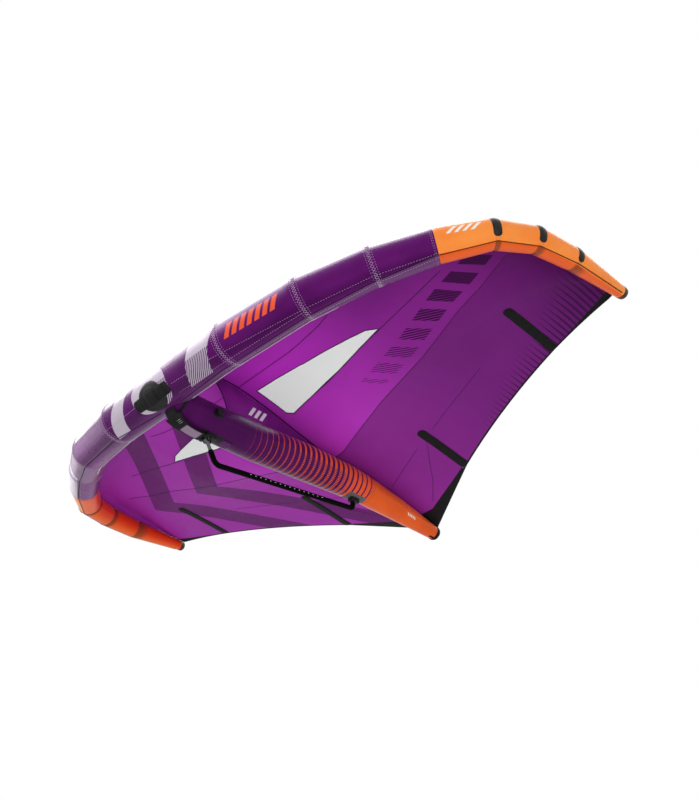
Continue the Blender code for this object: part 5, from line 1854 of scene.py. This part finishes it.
    def build_web(self, strut: Strut, wardrobe: Wardrobe) -> None:
        """The upright web between strut and canopy, with taped keel and foot."""
        keel = [(point.y, point.z - SEAT) for point in self.grids[0]]
        tail = self.web_tail_back - 2 * self.binding_width
        steps, up = 110, 14

        def ends(share: float) -> tuple[Vector, Vector]:
            """The web's foot and head, a share of the way back."""
            foot = self.web_foot_back + (tail - self.web_foot_back) * share
            head = self.web_head_back + (tail - self.web_head_back) * share
            return Vector((0, foot, strut.top(foot) + SEAT)), Vector((0, head, interpolate(head, keel)))

        foot, head = ends(0.0)
        chord = head - foot
        hollow = Vector((0, -chord.z, chord.y)).normalized() * self.web_edge_hollow
        rows = []
        for i in range(steps + 1):
            share = (i / steps) ** 1.15
            foot, head = ends(share)
            bow = hollow * 4 * max(1 - share * 9, 0.0) ** 2
            rows.append([foot.lerp(head, j / up) - bow * (j / up) * (1 - j / up) for j in range(up + 1)])
        aside = Vector((self.web_thickness / 2, 0, 0))
        layers = [[[point + aside * side for point in row] for row in rows] for side in (-1, 1)]
        pattern = Pattern("web_sheet").sheet(*layers, lambda i, j: (rows[i][j].y, rows[i][j].z))
        web = pattern.sew(wardrobe.web, 60, ("canopy_web",), "canopy_cloth")
        area = max(grid_area(rows), 0.3 * 0.136)
        tapes = Pattern("web_tapes")
        for half in Half:
            spots = [(0.009, back) for back in self.keel_tape]
            add_tape(tapes, Line(self.under(half), spots, 0.02), 0.009, 0.0008, SEAT)
            feet = [(back, half.value * 4.5) for back in self.foot_tape]
            add_tape(tapes, Line(strut.at, feet, 0.02), 0.009, 0.0008, SEAT)
            add_cord(tapes, [point + Vector((half.value * 0.0015, 0, 0)) for point in rows[0]], 0.0013)
        tapes.sew(wardrobe.piping)


def grid_area(rows: Rows, outline: Sequence[Pair] = ()) -> float:
    """The area of a grid of points, or of its cells that lie inside an outline in plan."""
    total = 0.0
    for low, high in zip(rows, rows[1:]):
        for a, b, c, d in zip(low, high, high[1:], low[1:]):
            middle = (a + b + c + d) / 4
            if not outline or inside(middle.x, middle.y, outline):
                total += (c - a).cross(d - b).length / 2
    return total


def inside(x: float, y: float, outline: Sequence[Pair]) -> bool:
    """Whether a place in plan lies in an outline."""
    found = False
    for (x0, y0), (x1, y1) in zip(outline, [*outline[1:], outline[0]]):
        if (y0 > y) != (y1 > y) and x < x0 + (x1 - x0) * (y - y0) / (y1 - y0):
            found = not found
    return found


def inset(outline: Sequence[Pair], margin: float) -> list[Pair]:
    """The outline moved inward by a margin."""
    points = [Vector(point) for point in outline]
    after = points[1:] + points[:1]
    turn = math.copysign(1, sum(a.x * b.y - b.x * a.y for a, b in zip(points, after)))
    moved = []
    for k, point in enumerate(points):
        into, out = (point - points[k - 1]).normalized(), (after[k] - point).normalized()
        normal = Vector((-into.y - out.y, into.x + out.x)).normalized() * turn
        lean = normal.dot(Vector((-into.y, into.x)) * turn)
        moved.append(tuple(point + normal * margin / lean))
    return moved


# ---------------------------------------------------------------- handle and boom


@dataclass
class FrontHandle:
    """The carrying strap under the strut's root, with a sleeve at its front."""

    back: Sizes = (0.016, 0.034, 0.066, 0.100, 0.130, 0.165, 0.2045)
    up: Sizes = (-0.0365, -0.0600, -0.0790, -0.0910, -0.0970, -0.0995, -0.0975)
    width: float = 0.066
    thickness: float = 0.0025
    sleeve: Pair = (0.036, 0.101)
    sleeve_half_widths: Pair = (0.050, 0.034)
    sleeve_thickness: float = 0.0016
    stitch: Stitch = Stitch(0.0032, 0.0050, 0.0009)
    tack: Stitch = Stitch(0.0050, 0.0060, 0.0024)

    def path(self, steps: int = 10) -> list[Vector]:
        """The strap's middle line in the middle plane, as (back, up) points."""
        points = [Vector(point) for point in zip(self.back, self.up)]
        smooth = []
        for k in range(len(points) - 1):
            before, a, b = points[max(k - 1, 0)], points[k], points[k + 1]
            after = points[min(k + 2, len(points) - 1)]
            for step in range(steps):
                t = step / steps
                bend = (2 * before - 5 * a + 4 * b - after) * t * t
                smooth.append((2 * a + (b - before) * t + bend + (3 * a - before - 3 * b + after) * t**3) / 2)
        return smooth + [points[-1]]

    def band(
        self, name: str, path: Sequence[Vector], widths: Sequence[float], low: float, high: float
    ) -> Pattern:
        """A band along part of the path.

        Args:
            name: the piece's name.
            path: its middle line.
            widths: its half width at each point.
            low: the offset of its underside from the path.
            high: the offset of its upper side.

        Returns:
            The pattern, with its flat cloth measured along and across.
        """
        lengths, across = travelled(path), 16

        def place(k: int, share: float) -> tuple[Vector, Vector]:
            """The band's two faces, eased at its borders."""
            way = heading(path, k)
            normal = Vector((0, -way.y, way.x))
            middle = Vector((share * widths[k], *path[k]))
            ease = 0.30 * smooth_step(0.94, 1.0, abs(share)) * (high - low)
            return middle + normal * (low + ease), middle + normal * (high - ease)

        flat = lambda k, j: (lengths[k], (2 * j / across - 1) * widths[k])
        return Pattern(name).slab(len(path) - 1, across, place, flat)

    def build(self, strut: Strut, wardrobe: Wardrobe) -> None:
        """Makes the strap, its sleeve and their threads."""
        path = self.path()
        half = self.thickness / 2
        strap = self.band("handle_strap", path, [self.width / 2] * len(path), -half, half).sew(
            wardrobe.handle, 50, ("front_handle",), "black_webbing"
        )
        cut(strap, strut.core(strut.back, 72))
        (start, stop), (wide, narrow) = self.sleeve, self.sleeve_half_widths
        part = [point for point in path if start <= point.x <= stop]
        widths = [wide + (narrow - wide) * (point.x - start) / (stop - start) for point in part]
        low = -half - SEAT - self.sleeve_thickness
        self.band("handle_sleeve", part, widths, low, low + self.sleeve_thickness).sew(
            wardrobe.black, 50, ("front_handle_sleeve",), "black_webbing"
        )
        line = [(point.x, point.y) for point in path]

        def under(back: float, out: float, lift: float) -> Vector:
            """A point under the strap."""
            return Vector((out, back, interpolate(back, line) - half - lift))

        def under_sleeve(back: float, out: float, lift: float) -> Vector:
            """A point under the sleeve."""
            return under(back, out, lift + SEAT + self.sleeve_thickness)

        rows = []
        for side in (-1, 1):
            rows.append((under, [(0.106 + 0.0115 * k, side * 0.0285) for k in range(9)]))
            edge = [wide - 0.005 - (wide - narrow) * k / 5 for k in range(6)]
            rows.append((under_sleeve, [(start + 0.003 + 0.0118 * k, side * edge[k]) for k in range(6)]))
        for back, reach in ((start + 0.004, wide - 0.006), (stop - 0.005, narrow - 0.006)):
            rows.append((under_sleeve, [(back, -reach + 2 * reach * k / 12) for k in range(13)]))
        thread, tack = Pattern("handle_thread"), Pattern("handle_bar_tack")
        for surface, places in rows:
            add_stitches(thread, Line(surface, places, 0.006), self.stitch)
        thread.sew(wardrobe.black_thread, 80)
        for back in (0.060, 0.068, 0.076):
            add_stitches(tack, Line(under_sleeve, [(back, 0.006), (back, 0.030)], 0.006), self.tack)
        tack.sew(wardrobe.mark_thread, 80)





@dataclass
class Boom:
    """The half boom under the strut: a bent tube in a soft ribbed cover, hinged at the front."""

    pivot: Pair = (0.230, -0.100)
    corners_back: Pair = (0.290, 1.149)
    corners_up: Pair = (-0.2063, -0.0892)
    corner_radii: Pair = (0.040, 0.020)
    top: float = -0.0525
    tube_radius: float = 0.0102
    cover_radius: float = 0.0127
    neck_length: float = 0.050
    collar: float = 0.004
    sides: int = 40
    hem_in: float = 0.006
    mark: Stitch = Stitch(0.010, 0.030, 0.0042)

    def path(self) -> list[Vector]:
        """The boom's middle line from the neck to the rear plug, with rounded corners."""
        pivot = Vector((0, *self.pivot))
        corners = [Vector((0, b, u)) for b, u in zip(self.corners_back, self.corners_up)]
        arm = corners[1] - pivot
        rise = Vector((0, -arm.z, arm.y)).normalized()
        top = corners[1] + rise * (self.top - corners[1].z) / rise.z
        first = pivot + (corners[0] - pivot).normalized() * (self.neck_length + SEAT)
        points = [first, *corners, top - rise * (self.collar + SEAT)]
        path = [points[0]]
        for before, corner, after, radius in zip(points, points[1:], points[2:], self.corner_radii):
            into, out = (before - corner).normalized(), (after - corner).normalized()
            half = into.angle(out) / 2
            reach = radius / math.tan(half)
            centre = corner + (into + out).normalized() * radius / math.sin(half)
            start, end = corner + into * reach, corner + out * reach
            for k in range(13):
                spoke = (start - centre).normalized().slerp((end - centre).normalized(), k / 12)
                path.append(centre + spoke * radius)
        return path + [points[-1]]

    def build(self, wardrobe: Wardrobe) -> None:
        """Makes the covered tube, the hems at the cover's ends and its marks."""
        rough = self.path()
        fine = [rough[0]]
        for a, b in zip(rough, rough[1:]):
            count = max(round((b - a).length / 0.006), 1)
            fine += [a.lerp(b, k / count) for k in range(1, count + 1)]
        lengths = travelled(fine)
        whole = lengths[-1]
        falls = [1 - smooth_step(0.0, 0.004, min(length, whole - length)) for length in lengths]
        rings = swept_rings(fine, [self.cover_radius - 0.0016 * fall for fall in falls], self.sides)
        Pattern("boom_cover").tube(rings, lambda i, j: (lengths[i], j / self.sides)).sew(
            wardrobe.grip, 50, ("boom_grip", "boom_tube"), "grip_foam", Body.BOOM
        )
        hems = Pattern("boom_cover_hems")
        for at in (self.hem_in, whole - self.hem_in):
            index = min(range(len(lengths)), key=lambda k: abs(lengths[k] - at))
            way = heading(fine, index)
            side = way.orthogonal().normalized()
            ring = circle(fine[index], side, way.cross(side), self.cover_radius, self.sides)
            add_cord(hems, [*ring, ring[0]], 0.0009, 6)
        hems.sew(wardrobe.black, body=Body.BOOM)
        spots = [point for point, length in zip(fine, lengths) if 0.26 < length < 0.74]
        way = (spots[-1] - spots[0]).normalized()
        side = (Vector((1, 0, -0.1)) + way * way.z * 0.1).normalized()

        def beside(share: float, _: float, lift: float) -> Vector:
            """A point on the cover's right side."""
            return spots[0].lerp(spots[-1], share) + side * (self.cover_radius + lift)

        marks = Pattern("boom_cover_marks")
        add_stitches(marks, Line(beside, [(0.0, 0.0), (1.0, 0.0)], 0.1), self.mark)
        marks.sew(wardrobe.mark_thread, 80, body=Body.BOOM)


@dataclass(frozen=True)
class LatchSpring:
    """The coil spring behind the latch's button, which shortens as the button goes in."""

    turns: int = 4
    radius: float = 0.0040
    wire: float = 0.0007
    travel: float = 0.0025

    def build(self, node: Object, wardrobe: Wardrobe) -> None:
        """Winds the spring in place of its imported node."""
        corners = [node.matrix_world @ Vector(corner) + GRIP_MIDDLE for corner in node.bound_box]
        low, high = min(c.y for c in corners), max(c.y for c in corners)
        middle = sum(corners, Vector()) / len(corners)
        count = self.turns * 16
        path = []
        for k in range(count + 1):
            turn = math.tau * self.turns * k / count
            back = low + self.wire + (high - low - 2 * self.wire) * k / count
            across = Vector((math.cos(turn), 0, math.sin(turn))) * self.radius
            path.append(Vector((middle.x, back, middle.z)) + across)
        pattern = Pattern("latch_spring_coil")
        add_cord(pattern, path, self.wire)
        coil = pattern.sew(wardrobe.steel, 60, ("latch_spring",), "steel")
        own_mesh(coil)


class Fittings:
    """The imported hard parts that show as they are, each in its own finish."""

    def __init__(self, nodes: dict[str, Object]) -> None:
        """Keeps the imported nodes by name."""
        self.nodes = nodes

    def dress(self, wardrobe: Wardrobe) -> None:
        """Gives each hard part its finish."""
        battens = [f"batten_{name}_{half.label}" for name in ("inner", "outer") for half in Half]
        finishes = (
            (wardrobe.neck, ("boom_neck",)),
            (wardrobe.plastic, ("boom_rear_plug", "boom_front_base", "boom_rear_socket", "strut_tail_cap")),
            (wardrobe.plastic, ("le_valve_body", "le_valve_plug", "strut_valve_body", "strut_valve_cap")),
            (wardrobe.steel, ("boom_pivot_pin", "latch_button")),
            (wardrobe.tip_cap, ("le_tip_cap_left", "le_tip_cap_right")),
            (wardrobe.fibre, battens),
        )
        for finish, names in finishes:
            for name in names:
                self.paint_over(self.nodes[name], finish)
                log.info("%s: dressed", name)

    def paint_over(self, node: Object, finish: Material) -> None:
        """Puts a finish in every slot of a node."""
        if not node.material_slots:
            node.data.materials.append(finish)
        for slot in node.material_slots:
            slot.link = "OBJECT"
            slot.material = finish


# ---------------------------------------------------------------- studio


@dataclass
class Studio:
    """The pale floor, the soft lamps, the white surround and the camera."""

    floor_level: float = -2.95
    floor_reach: float = 30.0
    surround: float = 0.62
    eye: tuple[float, float, float] = (3.27566, -2.79675, -2.60038)
    azimuth: float = 45.857
    elevation: float = -36.005
    roll: float = -0.3045
    lens: float = 47.25

    def build(self) -> None:
        """Sets up everything round the wing."""
        self.build_floor()
        self.build_surround()
        self.build_lamps()
        self.build_camera()
        bpy.context.scene.view_settings.view_transform = "Standard"

    def build_floor(self) -> None:
        """A plain pale floor well under the wing."""
        reach, level = self.floor_reach, self.floor_level
        mesh = bpy.data.meshes.new("floor")
        corners = [(-reach, -reach, level), (reach, -reach, level), (reach, reach, level), (-reach, reach, level)]
        mesh.from_pydata(corners, [], [(0, 1, 2, 3)])
        floor = bpy.data.objects.new("floor", mesh)
        bpy.context.scene.collection.objects.link(floor)
        loom = Loom("floor_paint")
        shades = (0.84, 0.84, 0.84, 1.0), (0.80, 0.80, 0.80, 1.0)
        colour = loom.blend(loom.noise(1.5) * 0.04, *shades)
        mesh.materials.append(loom.dress(colour, 0.9))
        floor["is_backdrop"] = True

    def build_surround(self) -> None:
        """White where the camera, gloss and film look past the wing; softer where it lights the wing."""
        world = bpy.data.worlds.new("surround")
        bpy.context.scene.world = world
        world.use_nodes = True
        nodes, link = world.node_tree.nodes, world.node_tree.links.new
        nodes.clear()
        path = nodes.new("ShaderNodeLightPath")
        seen = path.outputs["Is Camera Ray"]
        for name in ("Is Glossy Ray", "Is Transmission Ray"):
            join = nodes.new("ShaderNodeMath")
            join.operation = "MAXIMUM"
            link(seen, join.inputs[0])
            link(path.outputs[name], join.inputs[1])
            seen = join.outputs[0]
        strength = nodes.new("ShaderNodeMapRange")
        strength.inputs["To Min"].default_value = self.surround
        light = nodes.new("ShaderNodeBackground")
        light.inputs["Color"].default_value = (1.0, 1.0, 1.0, 1.0)
        link(seen, strength.inputs["Value"])
        link(strength.outputs[0], light.inputs["Strength"])
        link(light.outputs[0], nodes.new("ShaderNodeOutputWorld").inputs[0])

    def build_lamps(self) -> None:
        """Broad soft lamps: high in front, high behind, low by the camera, and two that only the gloss sees."""
        lamps = (
            ("lamp_front", (-2.4, -5.2, 3.4), 3.2, 190.0, True),
            ("lamp_over", (0.8, 2.6, 5.2), 4.0, 120.0, True),
            ("lamp_low", (4.2, -2.4, -1.6), 3.0, 46.0, True),
            ("gloss_over", (-2.0, -1.3, 4.9), 6.4, 680.0, False),
            ("gloss_left", (-6.2, -0.9, 1.4), 2.6, 34.0, False),
        )
        for name, place, size, power, lights in lamps:
            lamp = bpy.data.lights.new(name, "AREA")
            lamp.shape = "SQUARE"
            lamp.size = size
            lamp.energy = power
            stand = bpy.data.objects.new(name, lamp)
            stand.location = place
            stand.visible_diffuse = lights
            aim = Vector((0.1, 0.0, 0.25)) - Vector(place)
            stand.rotation_euler = aim.to_track_quat("-Z", "Y").to_euler()
            bpy.context.scene.collection.objects.link(stand)

    def build_camera(self) -> None:
        """The camera where the photograph was taken from, low in front on the right."""
        a, e, ro = (math.radians(x) for x in (self.azimuth, self.elevation, self.roll))
        behind = Vector((math.sin(a) * math.cos(e), -math.cos(a) * math.cos(e), math.sin(e)))
        level = Vector((math.cos(a), math.sin(a), 0.0))
        upright = behind.cross(level)
        right = level * math.cos(ro) + upright * math.sin(ro)
        up = upright * math.cos(ro) - level * math.sin(ro)
        lens = bpy.data.cameras.new("camera")
        lens.lens = self.lens
        lens.sensor_width = 36.0
        lens.clip_end = 200.0
        camera = bpy.data.objects.new("camera", lens)
        turn = Matrix((right, up, behind)).transposed()
        camera.matrix_world = Matrix.Translation(Vector(self.eye)) @ turn.to_4x4()
        bpy.context.scene.collection.objects.link(camera)
        bpy.context.scene.camera = camera


def record_sizes(cad: object) -> None:
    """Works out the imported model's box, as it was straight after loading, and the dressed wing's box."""
    boxes = {"cad": cad, "visual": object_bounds()}
    plain = {name: [[float(c) for c in corner] for corner in box] for name, box in boxes.items()}


def main(cad: object) -> None:
    """Builds the wing piece by piece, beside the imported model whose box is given."""
    logging.basicConfig(level=logging.INFO, format="%(message)s")
    wardrobe = Wardrobe()
    edge, strut, canopy = LeadingEdge(), Strut(), Canopy()
    Studio().build()
    edge.build(wardrobe)
    FillingValve().build(edge, wardrobe)
    strut.build(edge, wardrobe)
    canopy.build(edge, strut, wardrobe)
    FrontHandle().build(strut, wardrobe)
    Boom().build(wardrobe)
    LatchSpring().build(frame["nodes"]["latch_spring"], wardrobe)
    Fittings(frame["nodes"]).dress(wardrobe)
    record_sizes(cad)


if __name__ == "__main__":
    main(CAD_BOX)
